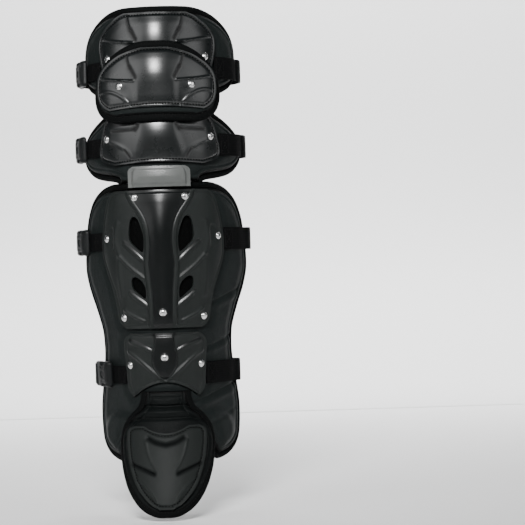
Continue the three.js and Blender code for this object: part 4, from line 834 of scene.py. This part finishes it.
shin_plate = Shell(SHIN_PLATE, shin_relief)
ankle_plate = Shell(ANKLE_PLATE, ankle_relief)
toe_cap = Shell(TOE_CAP, toe_relief, groove=0.8)
shell_piece("Shin plate", shin_plate, 176, 176, SATIN, ["shin_plate"],
            [UPPER_VENT, LOWER_VENT], [SHIN_RIDGE] + [strip(line, 1.7, 1.1) for line in VENT_LIPS])
# The ankle plate's dark band is painted shade along the top of its shield.
shell_piece("Ankle plate", ankle_plate, 116, 90, SATIN, ["ankle_plate"],
            polish=[ANKLE_SHIELD, strip(ANKLE_BROW, 1.6, 1)], painted_shade=[([(0, 334), (10, 335)], 3.0)])
shell_piece("Toe cap", toe_cap, 112, 104, MATT, ["toe_cap"], painted_shade=TOE_PAINTED_SHADE)
print("shin, ankle and toe shells made")

# %% [markdown]
# A pad is foam between two cloths, sewn shut along its edge. It is a closed wall: the outer and the
# inner face are two grids, and their borders are bridged. The outer face rounds over to the hem,
# dips at the quilting seam and swells a little wherever no shell presses on it. Behind the vents
# the cloth is a black open mesh. The creases, folds and domes are drawn in the same sketch as the
# shells' relief. The foam is sculpted this way and not settled by a cloth simulation.

# %% The pad maker
HEM = 3.2  # how far the hem's black cloth comes over a pad's face


class Pad:
    def __init__(self, panel, covers, creases=(), folds=(), domes=(), puff=1.3, seam=6.5):
        self.panel, self.covers = panel, covers
        self.creases, self.folds, self.domes = creases, folds, domes
        self.puff, self.seam = puff, seam

    def depth(self, x, z):
        panel = self.panel
        edge = np.maximum(0, panel.from_edge(x, z))
        round_ = np.sqrt(1 - (1 - np.clip(edge / 8, 0, 1)) ** 2)
        depth = RIM_WALL + (panel.wall - RIM_WALL) * round_
        free = np.ones_like(edge)
        for cover in self.covers:
            free = free * ease(-cover.from_edge(x, z) / 9)
        soft = self.puff * free * ease((edge - self.seam) / 9)
        soft = soft - 1.0 * np.exp(-(((edge - self.seam) / 0.9) ** 2))
        lumps = np.array([noise.noise(Vector((a, b, 3.0)) / 21) for a, b in zip(x, z)])
        soft = soft + 0.5 * lumps * free * ease(edge / 12)
        across, down = x / STEP, DATUM - z / STEP
        for points, deep, wide in self.creases:
            soft = soft + pressed(across, down, points, deep, wide)
        for points, deep, wide in self.folds:
            soft = soft + pressed(np.abs(across), down, points, deep, wide)
        for corners, high in self.domes:
            soft = soft + field(np.abs(across), down, corners, high, 4.5) * ease(edge / 8)
        return panel.seat + depth + soft

    def outer(self, x, z):
        return self.panel.place(x, z, self.depth(x, z))


def pad_piece(name, pad, across, down, nodes, screens=(), cloth=CLOTH):
    bm = bmesh.new()
    for face_out in (True, False):
        verts, u, v = flat_grid(bm, across, down)
        x, z = pad.panel.spread(u, (1 - v) / 2)
        points = pad.outer(x, z) if face_out else pad.panel.place(x, z, pad.panel.seat + 0 * x)
        move(verts, points)
        look = np.full(len(verts), 0 if face_out else 1)
        if face_out:
            look[pad.panel.from_edge(x, z) < HEM] = 2
            right, below = np.abs(x) / STEP, DATUM - z / STEP
            for screen in screens:
                near = distance(right, below, screen, closed=True) < 4
                look[near | inside(right, below, screen)] = 3
        chosen = dict(zip(verts, look.tolist()))
        for face in {f for vert in verts for f in vert.link_faces}:
            face.material_index = min(chosen[vert] for vert in face.verts)
    bmesh.ops.bridge_loops(bm, edges=[edge for edge in bm.edges if edge.is_boundary])
    bmesh.ops.recalc_face_normals(bm, faces=bm.faces)
    looks = [cloth, LINING, HEM_CLOTH] + ([SCREEN] if screens else [])
    piece = keep(bm, name, looks, nodes)
    return piece


SHIN_CREASES = [
    ([(49, 304), (60, 298.5), (73, 292)], -1.7, 1.5), ([(50, 309), (62, 303.5), (73, 298)], 1.0, 2.4),
    ([(40, 350.5), (51, 346), (65, 339)], -1.6, 1.5), ([(41, 355), (53, 351), (65, 345)], 1.0, 2.4),
    ([(29, 405), (48, 397), (73, 386)], -1.9, 1.6), ([(30, 410), (50, 403), (73, 393)], 1.1, 2.6),
    ([(40, 428), (55, 421), (66, 415)], -0.7, 1.8),
]
ANKLE_DOMES = [
    ([(34, 420), (43, 415), (53, 416), (60, 421), (64, 434), (61, 447), (51, 456), (38, 459)], 4.4),
]
PLEATS = [
    ([(0, 407), (22, 406), (30, 409)], -2.6, 1.3), ([(0, 419), (24, 418.5), (37, 422)], -2.4, 1.4),
    ([(0, 412.5), (20, 412), (32, 415)], 2.0, 2.4), ([(0, 400), (16, 400)], 0.7, 3.0),
    ([(17.5, 391), (17.5, 404)], -0.9, 0.9),
]
upper_pad = Pad(UPPER_PAD, [UPPER_CUP, MIDDLE_PAD])
middle_pad = Pad(MIDDLE_PAD, [MIDDLE_CUP], puff=0.4, seam=30)
lower_pad = Pad(LOWER_PAD, [LOWER_CUP, MIDDLE_PAD, BRIDGE], puff=1.8)
shin_pad = Pad(SHIN_PAD, [SHIN_PLATE, ANKLE_PLATE, FLAP_PAD], SHIN_CREASES, (), ANKLE_DOMES, 1.6)
flap_pad = Pad(FLAP_PAD, [TOE_CAP], (), PLEATS, (), 0.8)
pad_piece("Upper pad", upper_pad, 110, 70, ["upper_pad"])
pad_piece("Middle pad", middle_pad, 90, 60, ["middle_pad"])
pad_piece("Lower pad", lower_pad, 120, 72, ["lower_pad"])
pad_piece("Shin pad", shin_pad, 130, 200, ["shin_pad"], [UPPER_VENT, LOWER_VENT])
# The flap takes the darker cloth, which is painted shade.
pad_piece("Flap pad", flap_pad, 96, 120, ["flap_pad"], cloth=SHADED_FLAP_CLOTH)
print("pads made")

# %% [markdown]
# Each pad's raw edge is closed with tape rolled round it and sewn down, one row of stitches on
# the front. The tape is a tube swept along the hem. The tube is again a grid, rolled up, so it
# has a map of its own for the weave. The stitches are small rods of thread that sink into the tape.

# %% Rolled bindings with their stitches
TAPE_WIDTH = 7.4
ROLL_WIDTH = 8.6  # the thick roll of the middle pad
HEM_POINTS = 90  # points along one side of a pad's outline
SEAM_AT = 0.62  # where the stitches lie, as a share of the way from the tape's middle to its edge


def tube(bm, centre, side, out, half_wide, half_deep, closed, around=16, look=0):
    """Sweeps an oval along a line; its map runs along and around, in millimetres."""
    count = len(centre)
    rows = count + 1 if closed else count
    verts = bmesh.ops.create_grid(bm, x_segments=rows - 1, y_segments=around, size=1)["verts"]
    place = np.array([vert.co[:2] for vert in verts])
    place = (place - place.min(0)) / (place.max(0) - place.min(0))
    i = np.rint(place[:, 0] * (rows - 1)).astype(int)
    angle = 2 * np.pi * place[:, 1]
    k = i % count
    points = centre[k] + side[k] * (half_wide * np.cos(angle))[:, None]
    points = points + out[k] * (half_deep * np.sin(angle))[:, None]
    move(verts, points)
    ahead = np.linalg.norm(np.diff(centre, axis=0, append=centre[:1]), axis=1)
    gone = np.concatenate([[0], np.cumsum(ahead)])
    give_map(bm, verts, gone[i], place[:, 1] * 2 * np.pi * half_wide)
    for face in {f for vert in verts for f in vert.link_faces}:
        face.material_index = look
    return verts


def give_map(bm, verts, along, across):
    layer = bm.loops.layers.uv.get("UVMap") or bm.loops.layers.uv.new("UVMap")
    spot = {vert: (float(a), float(b)) for vert, a, b in zip(verts, along, across)}
    for vert, pair in spot.items():
        for corner in vert.link_loops:
            corner[layer].uv = pair


def walk_evenly(points, pitch, closed):
    """Points of a line at an even pitch; columns after the third go along with it."""
    line = np.vstack([points, points[:1]]) if closed else points
    length = np.concatenate([[0], np.cumsum(np.linalg.norm(np.diff(line[:, :3], axis=0), axis=1))])
    count = max(4, int(length[-1] / pitch))
    want = np.linspace(0, length[-1], count + 1)
    want = want[:-1] if closed else want
    return np.stack([np.interp(want, length, line[:, k]) for k in range(line.shape[1])], -1)


def unit(vectors):
    return vectors / np.maximum(np.linalg.norm(vectors, axis=-1, keepdims=True), 1e-9)


def stitch_row(bm, points, out, look, long=2.6, thick=0.42, pitch=3.6, closed=False):
    """Rods of thread along a line that lies on a surface."""
    line = walk_evenly(np.hstack([points, out]), pitch, closed)
    ahead = np.roll(line[:, :3], -1, 0) - np.roll(line[:, :3], 1, 0)
    count = len(line)
    for i in range(count) if closed else range(1, count - 1):
        along, up = Vector(ahead[i]).normalized(), Vector(line[i, 3:]).normalized()
        side = up.cross(along).normalized()
        turn = Matrix((along, side, along.cross(side))).transposed().to_4x4()
        size = Matrix.Diagonal((long / 2, thick, thick, 1))
        place = Matrix.Translation(Vector(line[i, :3])) @ turn @ size
        rod = bmesh.ops.create_uvsphere(bm, u_segments=6, v_segments=5, radius=1, matrix=place)
        for face in {f for vert in rod["verts"] for f in vert.link_faces}:
            face.material_index = look


def hem_line(panel, width, open_side, inset):
    """Centre of the tape along a pad's hem, with the directions away from the pad and outward."""
    edge = panel.rim(HEM_POINTS)
    start = {"top": HEM_POINTS, "bottom": 3 * HEM_POINTS, None: 0}[open_side]
    edge = np.roll(edge, -start, axis=0)
    edge = edge[:3 * HEM_POINTS + 1] if open_side else edge
    deep = panel.seat + RIM_WALL / 2
    hem = np.hstack([panel.place(edge[:, 0], edge[:, 1], deep), edge])
    hem = walk_evenly(hem, 2.4, open_side is None)
    line, x, z = hem[:, :3], hem[:, 3], hem[:, 4]
    out = unit(panel.place(x, z, deep + 1) - panel.place(x, z, deep - 1))
    for _ in range(3):
        if open_side is None:
            line = (np.roll(line, 1, 0) + line + np.roll(line, -1, 0)) / 3
        else:
            line[1:-1] = (line[:-2] + line[1:-1] + line[2:]) / 3
    ahead = np.roll(line, -1, 0) - np.roll(line, 1, 0)
    if open_side:
        ahead[0], ahead[-1] = line[1] - line[0], line[-1] - line[-2]
    side = unit(np.cross(unit(ahead), out))
    middle = line - np.mean(line, 0)
    if np.sum(side * middle) < 0:
        side = -side
    return line + side * (width / 2 - inset), side, out


def binding_piece(name, panel, width, nodes, open_side=None, inset=0.4, lift=0.6):
    bm = bmesh.new()
    line, side, out = hem_line(panel, width, open_side, inset)
    line = line + out * lift
    closed = open_side is None
    deep = RIM_WALL / 2 + 0.55
    tube(bm, line, side, out, width / 2 + 0.35, deep, closed)
    bmesh.ops.remove_doubles(bm, verts=bm.verts, dist=1e-4)
    if not closed:
        bmesh.ops.holes_fill(bm, edges=[edge for edge in bm.edges if edge.is_boundary], sides=0)
    bmesh.ops.recalc_face_normals(bm, faces=bm.faces)
    seat = line - side * (width / 2 * SEAM_AT) + out * (deep * math.sqrt(1 - SEAM_AT**2) - 0.05)
    lean = unit(out - 0.5 * side)
    stitch_row(bm, seat, lean, 1, closed=closed)
    return keep(bm, name, [TAPE, THREAD], nodes)


binding_piece("Upper pad binding", UPPER_PAD, TAPE_WIDTH, ["upper_binding"])
binding_piece("Middle pad binding", MIDDLE_PAD, ROLL_WIDTH, ["middle_binding"], inset=1.7, lift=1.9)
binding_piece("Lower pad binding", LOWER_PAD, TAPE_WIDTH, ["lower_binding"], "bottom")
binding_piece("Shin pad binding", SHIN_PAD, TAPE_WIDTH, ["shin_binding"])
binding_piece("Flap binding", FLAP_PAD, TAPE_WIDTH, ["flap_binding"], "top", 2.6, 1.6)
print("bindings made")

# %% [markdown]
# The cups and the toe cap are sewn to their pads too: a dark row of stitches lies in the fine line
# inside the lip. Its place is found from the edge inwards, along the slope of the distance.

# %% Stitches inside the lips
def lip_stitches(name, shell, nodes):
    panel, e = shell.panel, 0.5
    x, z = panel.rim(HEM_POINTS).T
    for _ in range(5):
        gap = panel.from_edge(x, z) - LIP
        slope_x = panel.from_edge(x + e, z) - panel.from_edge(x - e, z)
        slope_z = panel.from_edge(x, z + e) - panel.from_edge(x, z - e)
        size = np.maximum(slope_x**2 + slope_z**2, 0.4)
        x, z = x - 0.8 * gap * slope_x / size, z - 0.8 * gap * slope_z / size
    across = shell.surface(x + e, z) - shell.surface(x - e, z)
    up = shell.surface(x, z + e) - shell.surface(x, z - e)
    out = unit(np.cross(across, up))
    bm = bmesh.new()
    stitch_row(bm, shell.surface(x, z) + 0.35 * out, out, 0, 2.3, 0.6, 3.5, closed=True)
    return keep(bm, name, [BLACK_THREAD], nodes)


for title, shell in (("Upper cup", upper_cup), ("Middle cup", middle_cup), ("Lower cup", lower_cup)):
    lip_stitches(title + " stitches", shell, [title.lower().replace(" ", "_")])
lip_stitches("Toe cap stitches", toe_cap, ["toe_cap"])
print("lip stitches made")

# %% [markdown]
# The light bridge panel hides the joint between the knee and the shin. It is a small padded vinyl
# plate with a raised middle. Rivets hold the shells: a turned profile, spun round its axis and set
# on the shell's surface along its outward direction.

# %% Bridge panel and rivets
def bridge_relief(x, y):
    lift = field(x, y, [(0, 163.5), (20, 164), (25, 168), (26.5, 176), (26.5, 192), (0, 192)], 1.8, 1.4)
    return lift + swell(x, y, (0, 176), (22, 12), 1.2)


bridge = Shell(BRIDGE, bridge_relief)
shell_piece("Knee bridge", bridge, 84, 34, VINYL, ["knee_bridge"])

FLAT_HEAD = [(0, 1), (0.34, 0.97), (0.6, 0.85), (0.74, 0.62), (0.79, 0.4), (0.95, 0.32), (1, 0.16),
             (1, -0.5)]
ROUND_HEAD = [(0, 1), (0.3, 0.95), (0.58, 0.8), (0.8, 0.55), (0.94, 0.25), (1, -0.1), (1, -0.4)]


def rivet(shell, across, down, nodes, radius=4.2, height=2.0, profile=FLAT_HEAD):
    bm = bmesh.new()
    point, out = shell.spot(across * shell.panel.half, shell.panel.top - down * shell.panel.height)
    line = [bm.verts.new((radius * r, 0, height * h)) for r, h in profile]
    edges = [bm.edges.new(pair) for pair in zip(line, line[1:])]
    bmesh.ops.spin(bm, geom=line + edges, axis=(0, 0, 1), cent=(0, 0, 0), angle=2 * math.pi,
                   steps=28, use_merge=True)
    bmesh.ops.remove_doubles(bm, verts=bm.verts, dist=1e-4)
    bmesh.ops.recalc_face_normals(bm, faces=bm.faces)
    turn = out.to_track_quat("Z", "Y").to_matrix().to_4x4()
    bmesh.ops.transform(bm, matrix=Matrix.Translation(point) @ turn, verts=bm.verts)
    return keep(bm, nodes[0].replace("_", " ").capitalize(), [NICKEL], nodes)


RIVETS = [
    ("upper", upper_cup, 0.83, 0.7), ("middle", middle_cup, 0.58, 0.6), ("lower", lower_cup, 0.85, 0.45),
    ("shin_top", shin_plate, 0.4, 0.05), ("shin_mid", shin_plate, 0.92, 0.34),
    ("shin_low", shin_plate, 0.65, 0.92), ("ankle", ankle_plate, 0.87, 0.5),
]
for place, shell, across, down in RIVETS:
    rivet(shell, -across, down, ["rivet_" + place + "_left"])
    rivet(shell, across, down, ["rivet_" + place + "_right"])
rivet(shin_plate, 0, 0.885, ["rivet_shin_centre"], 4.8, 3.4, ROUND_HEAD)
rivet(ankle_plate, 0, 0.38, ["rivet_ankle_centre"], 4.8, 3.4, ROUND_HEAD)
print("rivets:", 2 * len(RIVETS) + 2)

# %% [markdown]
# Each strap is one round: a sewn tab and a closed side-release buckle on the left, then elastic
# webbing round the back of the leg to the right wing. The round is worked out once, as stations
# with a middle, a height direction and an outward direction, and each piece takes its own stretch.

# %% The round of a strap
SIDE_CLEARANCE = 1.2
BACK_CLEARANCE = 5.0
BUCKLE_WIDTH = 30.0


def curve_through(points, count):
    """Even points on a smooth curve through a few."""
    points = np.array(points, float)
    padded = np.vstack([2 * points[0] - points[1], points, 2 * points[-1] - points[-2]])
    out = []
    for i in range(1, len(padded) - 2):
        a, b, c, d = padded[i - 1:i + 3]
        t = np.linspace(0, 1, count)[:, None]
        part = 2 * b + (c - a) * t + (2 * a - 5 * b + 4 * c - d) * t**2 + (3 * b - a - 3 * c + d) * t**3
        out.append(0.5 * part[:-1])
    return np.vstack(out + [points[-1:]])


def strap_round(pad, cover, z):
    panel = pad.panel
    reference = panel.seat + panel.wall
    half = float(smooth((panel.top - z) / panel.height, panel.outline)) * panel.half
    edge = float(arc_of(half, z, reference))
    heights = z + BUCKLE_WIDTH * np.linspace(-0.5, 0.5, 5)
    at = np.clip((cover.top - heights) / cover.height, 0, 1)
    reach = arc_of(smooth(at, cover.outline) * cover.half, heights, cover.seat + cover.wall)
    start = float(reach.max()) + SIDE_CLEARANCE
    stops = np.concatenate([np.linspace(start, edge, 12), [edge + 2.9, edge + 6.8]])
    stations = []
    for stop in stops:
        at_edge = min(stop, edge - 0.5)
        seen = on_leg(at_edge, heights, reference)[:, 0]
        depth = 0.7 + float(pad.depth(seen, heights).max())
        ends = on_leg(stop, heights[[0, -1]], depth)
        turn = min(stop / float(leg_at(z)[0]), WRAP)
        stations.append((*ends.mean(0), *(ends[1] - ends[0]), math.sin(turn), -math.cos(turn), 0))
    right = np.array(stations)
    x, y = right[-1, 0], right[-1, 1]
    behind = float(on_leg(0.0, z, 0)[1]) + 2 * float(leg_at(z)[0]) + BACK_CLEARANCE
    run, wide = behind - y, x + 1.2
    turns = [(x, y), (wide, y + run * 0.16), (wide - 1, y + run * 0.38), (wide * 0.86, y + run * 0.68),
             (wide * 0.6, y + run * 0.87), (wide * 0.3, y + run * 0.97), (0, behind)]
    turns += [(-a, b) for a, b in turns[-2::-1]]
    back = curve_through(turns, 12)[4:-4]
    ahead = np.gradient(back, axis=0)
    out = unit(np.stack([ahead[:, 1], -ahead[:, 0]], -1))
    one = np.ones(len(back))
    middle = np.stack([back[:, 0], back[:, 1], z * one, 0 * one, 0 * one, BUCKLE_WIDTH * one,
                       out[:, 0], out[:, 1], 0 * one], -1)
    left = right[::-1] * np.array([-1, 1, 1, -1, 1, 1, -1, 1, 1])
    whole = np.vstack([right, middle, left])[::-1]
    gone = np.concatenate([[0], np.cumsum(np.linalg.norm(np.diff(whole[:, :3], axis=0), axis=1))])
    return gone, whole


def stretch(round_, start, end, count):
    """Middle, unit height direction and unit outward direction between two distances."""
    gone, whole = round_
    want = np.linspace(start, gone[-1] if end is None else end, count)
    taken = np.stack([np.interp(want, gone, whole[:, k]) for k in range(9)], -1)
    for _ in range(2):
        taken[1:-1] = (taken[:-2] + 2 * taken[1:-1] + taken[2:]) / 4
    return taken[:, :3], unit(taken[:, 3:6]), unit(taken[:, 6:])


print("room between straps and leg, side and back:", SIDE_CLEARANCE, BACK_CLEARANCE)

# %% [markdown]
# Webbing is a ribbon with a wall: its map runs along and across, so the weave follows every
# bend. Sewn ends carry a box of stitches.

# %% Webbing
STRAP_WALL = 2.0


def ribbon(name, path, width, nodes, boxes):
    middle, up, out = path
    bm = bmesh.new()
    count, across = len(middle), 8
    verts = bmesh.ops.create_grid(bm, x_segments=count - 1, y_segments=across, size=1)["verts"]
    place = np.array([vert.co[:2] for vert in verts])
    place = (place - place.min(0)) / (place.max(0) - place.min(0))
    i = np.rint(place[:, 0] * (count - 1)).astype(int)
    c = 2 * place[:, 1] - 1
    rise = STRAP_WALL * (1 - 0.12 * c**6)
    move(verts, middle[i] + up[i] * (width / 2 * c)[:, None] + out[i] * rise[:, None])
    length = np.concatenate([[0], np.cumsum(np.linalg.norm(np.diff(middle, axis=0), axis=1))])
    give_map(bm, verts, length[i], c * width / 2)
    bm.normal_update()
    face = min(bm.faces, key=lambda f: (f.calc_center_median() - Vector(middle[0])).length)
    if face.normal.dot(Vector(out[0])) < 0:
        bmesh.ops.reverse_faces(bm, faces=bm.faces)
    sheet = keep(bm, name, [WEBBING], nodes)
    crown(sheet, STRAP_WALL * 0.9, 0.5)
    sewn = bmesh.new()
    for start, end in boxes:
        strap_box(sewn, path, length, start, end, width)
    if boxes:
        keep(sewn, name + " stitches", [THREAD], nodes)
    return sheet


def strap_box(bm, path, length, start, end, width):
    """A box of stitches with a cross in it, between two distances along a strap."""
    middle, up, out = path
    high = width / 2 - 2.6
    corners = [(start, -high), (end, -high), (end, high), (start, high), (start, -high), (end, high)]
    corners = corners + [(end, -high), (start, high)]
    walk = walk_evenly(np.array(corners, float), 0.8, False)
    at = np.interp(walk[:, 0], length, np.arange(len(length)))
    low = np.floor(at).astype(int).clip(0, len(length) - 2)
    part = (at - low)[:, None]
    mix = [a[low] * (1 - part) + a[low + 1] * part for a in (middle, up, out)]
    points = mix[0] + mix[1] * walk[:, 1:2] + mix[2] * (STRAP_WALL + 0.05)
    stitch_row(bm, points, unit(mix[2]), 0, 2.2, 0.36, 3.2)


print("webbing maker ready")

# %% [markdown]
# A side-release buckle is two mouldings. The socket is a hollow box with a window at each side,
# where the plug's two prongs show and are pressed to open it. Each half is made from two grids, like
# a pad, from a short table of half widths and heights along its length.

# %% Buckles
TAB_LENGTH = 26.0
SOCKET_LENGTH = 30.0
PLUG_LENGTH = 20.0
JOINT = 0.3  # gap between the pieces of a round
BUCKLE_WALL = 7.0
SOCKET_WIDE = [(0, 0.8), (0.1, 0.96), (0.2, 1), (0.3, 0.99), (0.36, 0.76), (0.5, 0.74), (0.6, 0.78),
               (0.68, 0.97), (0.8, 0.99), (0.95, 0.96), (1, 0.9)]
SOCKET_HIGH = [(0, 0.6), (0.12, 0.82), (0.3, 0.98), (0.6, 1), (0.85, 0.96), (1, 0.84)]
PLUG_WIDE = [(0, 0.9), (0.15, 0.93), (0.4, 0.95), (0.8, 0.93), (1, 0.84)]
PLUG_HIGH = [(0, 0.8), (0.3, 0.78), (0.7, 0.72), (1, 0.5)]


def socket_face(a, b):
    lift = 0.7 * ease((0.62 - np.abs(b)) / 0.06) * ease((a - 0.1) / 0.04) * ease((0.9 - a) / 0.04)
    lift = lift - 1.1 * ease((0.4 - np.hypot((a - 0.5) * 2.4, b)) / 0.08)
    return lift + 0.35 * ease((0.3 - np.hypot((a - 0.5) * 2.4, b)) / 0.05)


def plug_face(a, b):
    ribs = sum(np.exp(-(((a - at) / 0.045) ** 2)) for at in (0.28, 0.5, 0.72))
    return 0.9 * ribs * ease((0.84 - np.abs(b)) / 0.06) - 0.3


def moulding(bm, frame_at, length, wide, high, face):
    """A closed body between a flat back and a shaped front, along a frame."""
    for front in (True, False):
        verts, u, v = flat_grid(bm, 44, 44)
        a = (v + 1) / 2
        half = BUCKLE_WIDTH / 2 * smooth(a, wide)
        top = BUCKLE_WALL * smooth(a, high)
        side = np.sqrt(np.maximum(0, 1 - np.clip((np.abs(u) - 0.8) / 0.2, 0, 1) ** 2))
        end = np.sqrt(np.maximum(0, 1 - np.clip((np.abs(v) - 0.86) / 0.14, 0, 1) ** 2))
        rise = top * (0.45 + 0.55 * side * end) + face(a, u) * side * end
        depth = rise if front else top * (0.25 - 0.25 * side * end)
        middle, up, out = frame_at(a * length)
        move(verts, middle + up * (u * half)[:, None] + out * depth[:, None])
    bmesh.ops.bridge_loops(bm, edges=[edge for edge in bm.edges if edge.is_boundary])
    bmesh.ops.recalc_face_normals(bm, faces=bm.faces)


def along(path, length):
    """A frame at any distance along a stretch."""
    stations = np.linspace(0, length, len(path[0]))

    def frame_at(a):
        return [np.stack([np.interp(a, stations, part[:, k]) for k in range(3)], -1) for part in path]
    return frame_at


def straight(path, lift):
    """The same stretch without its bend, lifted clear of what it spans."""
    middle, up, out = path
    mean = unit(out[0] + out[-1])
    part = np.linspace(0, 1, len(middle))[:, None]
    line = middle[0] * (1 - part) + middle[-1] * part + mean * lift
    return line, unit(up[:1] + up[-1:]) + 0 * line, mean + 0 * line


def prongs(bm, frame_at):
    """The two spring arms that show in the socket's windows."""
    for side in (-1, 1):
        middle, up, out = [part[0] for part in frame_at(np.array([0.49 * SOCKET_LENGTH]))]
        ahead = np.cross(up, out)
        spot = middle + up * side * 0.86 * BUCKLE_WIDTH / 2 + out * BUCKLE_WALL * 0.46
        turn = Matrix((ahead, up, out)).transposed().to_4x4()
        size = Matrix.Diagonal((SOCKET_LENGTH * 0.36, BUCKLE_WIDTH * 0.11, BUCKLE_WALL * 0.52, 1))
        arm = bmesh.ops.create_cube(bm, size=1, matrix=Matrix.Translation(Vector(spot)) @ turn @ size)
        edges = list({edge for vert in arm["verts"] for edge in vert.link_edges})
        bmesh.ops.bevel(bm, geom=edges, offset=0.9, segments=3, profile=0.5, affect="EDGES", material=-1)


def strap(name, pad, cover, share):
    """One whole round, at a share of its pad's height below the top."""
    round_ = strap_round(pad, cover, pad.panel.top - share * pad.panel.height)
    socket_from = TAB_LENGTH + JOINT
    plug_from = socket_from + SOCKET_LENGTH + JOINT
    loop_from = plug_from + PLUG_LENGTH + JOINT
    tab = stretch(round_, 0, TAB_LENGTH, 22)
    title = name.replace("_", " ")
    ribbon("Strap tab " + title, tab, 20, ["strap_tab_" + name], [(2.5, 13)])
    socket = along(straight(stretch(round_, socket_from, plug_from - JOINT, 12), 1.6), SOCKET_LENGTH)
    bm = bmesh.new()
    moulding(bm, socket, SOCKET_LENGTH, SOCKET_WIDE, SOCKET_HIGH, socket_face)
    keep(bm, "Buckle socket " + title, [BUCKLE], ["buckle_socket_" + name])
    bm = bmesh.new()
    plug = along(stretch(round_, plug_from, loop_from - JOINT, 12), PLUG_LENGTH)
    moulding(bm, plug, PLUG_LENGTH, PLUG_WIDE, PLUG_HIGH, plug_face)
    prongs(bm, socket)
    keep(bm, "Buckle plug " + title, [BUCKLE], ["buckle_plug_" + name])
    total = float(round_[0][-1])
    loop = stretch(round_, loop_from, None, 200)
    span = total - loop_from
    ribbon("Strap loop " + title, loop, 25, ["strap_loop_" + name], [(span - 15, span - 3)])
    return total


STRAPS = [
    ("knee", upper_pad, UPPER_CUP, 0.68), ("calf_top", lower_pad, LOWER_CUP, 0.53),
    ("calf", shin_pad, SHIN_PLATE, 0.19), ("ankle", shin_pad, ANKLE_PLATE, 0.69),
]
print("strap rounds in millimetres:", [round(strap(*level)) for level in STRAPS])

# %% [markdown]
# The guard stands before a white paper sweep, which lies behind every place that the camera goes
# to. A small soft light above and in front puts a highlight on each polished swell. Two weak ones
# open the sides, with little shine of their own, and a strong one whitens the sweep.

# %% Backdrop and lights
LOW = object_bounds()[0].z - 0.004


def sweep():
    bm = bmesh.new()
    line = [(-4, LOW), (1, LOW), (1.5, LOW), (2, LOW + 0.06), (2.4, LOW + 0.3), (2.55, LOW + 0.8),
            (2.6, LOW + 1.5), (2.6, LOW + 4)]
    verts = [bm.verts.new((-4, y, z)) for y, z in curve_through(line, 8)]
    edges = [bm.edges.new(pair) for pair in zip(verts, verts[1:])]
    moved = bmesh.ops.extrude_edge_only(bm, edges=edges)["geom"]
    far = [v for v in moved if isinstance(v, bmesh.types.BMVert)]
    bmesh.ops.translate(bm, verts=far, vec=(8, 0, 0))
    bmesh.ops.recalc_face_normals(bm, faces=bm.faces)
    for face in bm.faces:
        face.smooth = True
    mesh = bpy.data.meshes.new("Paper sweep")
    bm.to_mesh(mesh)
    bm.free()
    paper = Look("White paper")
    mesh.materials.append(paper.surface(Base_Color=(0.9, 0.9, 0.9, 1), Roughness=0.9))
    made = bpy.data.objects.new("Paper_sweep", mesh)
    bpy.context.scene.collection.objects.link(made)
    return made


def soft_light(name, spot, aim, size, power, spread, shine=1.0):
    data = bpy.data.lights.new(name, "AREA")
    data.shape = "RECTANGLE"
    data.size, data.size_y = size
    data.energy = power
    data.spread = math.radians(spread)
    data.specular_factor = shine
    made = bpy.data.objects.new(name, data)
    made.location = spot
    made.rotation_mode = "QUATERNION"
    made.rotation_quaternion = (Vector(aim) - Vector(spot)).to_track_quat("-Z", "Y")
    bpy.context.scene.collection.objects.link(made)
    return made


sweep()
soft_light("Top light", (-0.1, -1.6, 0.92), (0, 0, 0.15), (0.62, 0.44), 8.4, 64)
soft_light("Left light", (-1.5, -1.0, 0.5), (0, 0, 0), (1.2, 1.6), 3.2, 80, 0.25)
soft_light("Right light", (1.6, -0.9, 0.4), (0, 0, 0), (1.2, 1.6), 2.2, 80, 0.25)
soft_light("Back light", (0.2, 1.8, 2.1), (0.2, 2.4, 0.1), (3.2, 0.7), 95, 130)
world = bpy.data.worlds.new("Studio")
world.use_nodes = True
sky = world.node_tree.nodes["Background"].inputs
sky["Color"].default_value = (0.9, 0.95, 1.0, 1)
sky["Strength"].default_value = 0.08
bpy.context.scene.world = world
print("floor at", round(LOW, 3))

# %% [markdown]
# The camera stands far back with a long lens, level with the middle of the guard and a little to
# its right. The guard is the left one of a pair, so it sits left of the picture's middle, and it
# leans slightly, which the camera's roll gives.

# %% Camera
AZIMUTH, ROLL = 0.6, 1.8  # degrees
FAR, ASIDE = 2.185, 0.1112  # metres from the guard, and to the right of it
EYE = -0.00275  # height of the camera above the guard's origin, in metres


def camera():
    data = bpy.data.cameras.new("Camera")
    data.lens, data.sensor_width = 135, 36
    data.clip_start, data.clip_end = 0.1, 20
    made = bpy.data.objects.new("Camera", data)
    turn = math.radians(AZIMUTH)
    back = Vector((math.sin(turn), -math.cos(turn), 0))
    made.rotation_mode = "QUATERNION"
    look_at = (-back).to_track_quat("-Z", "Y") @ Quaternion((0, 0, 1), -math.radians(ROLL))
    made.rotation_quaternion = look_at
    made.location = Vector((0, 0, EYE)) + look_at @ Vector((ASIDE, 0, FAR))
    bpy.context.scene.collection.objects.link(made)
    bpy.context.scene.camera = made


camera()
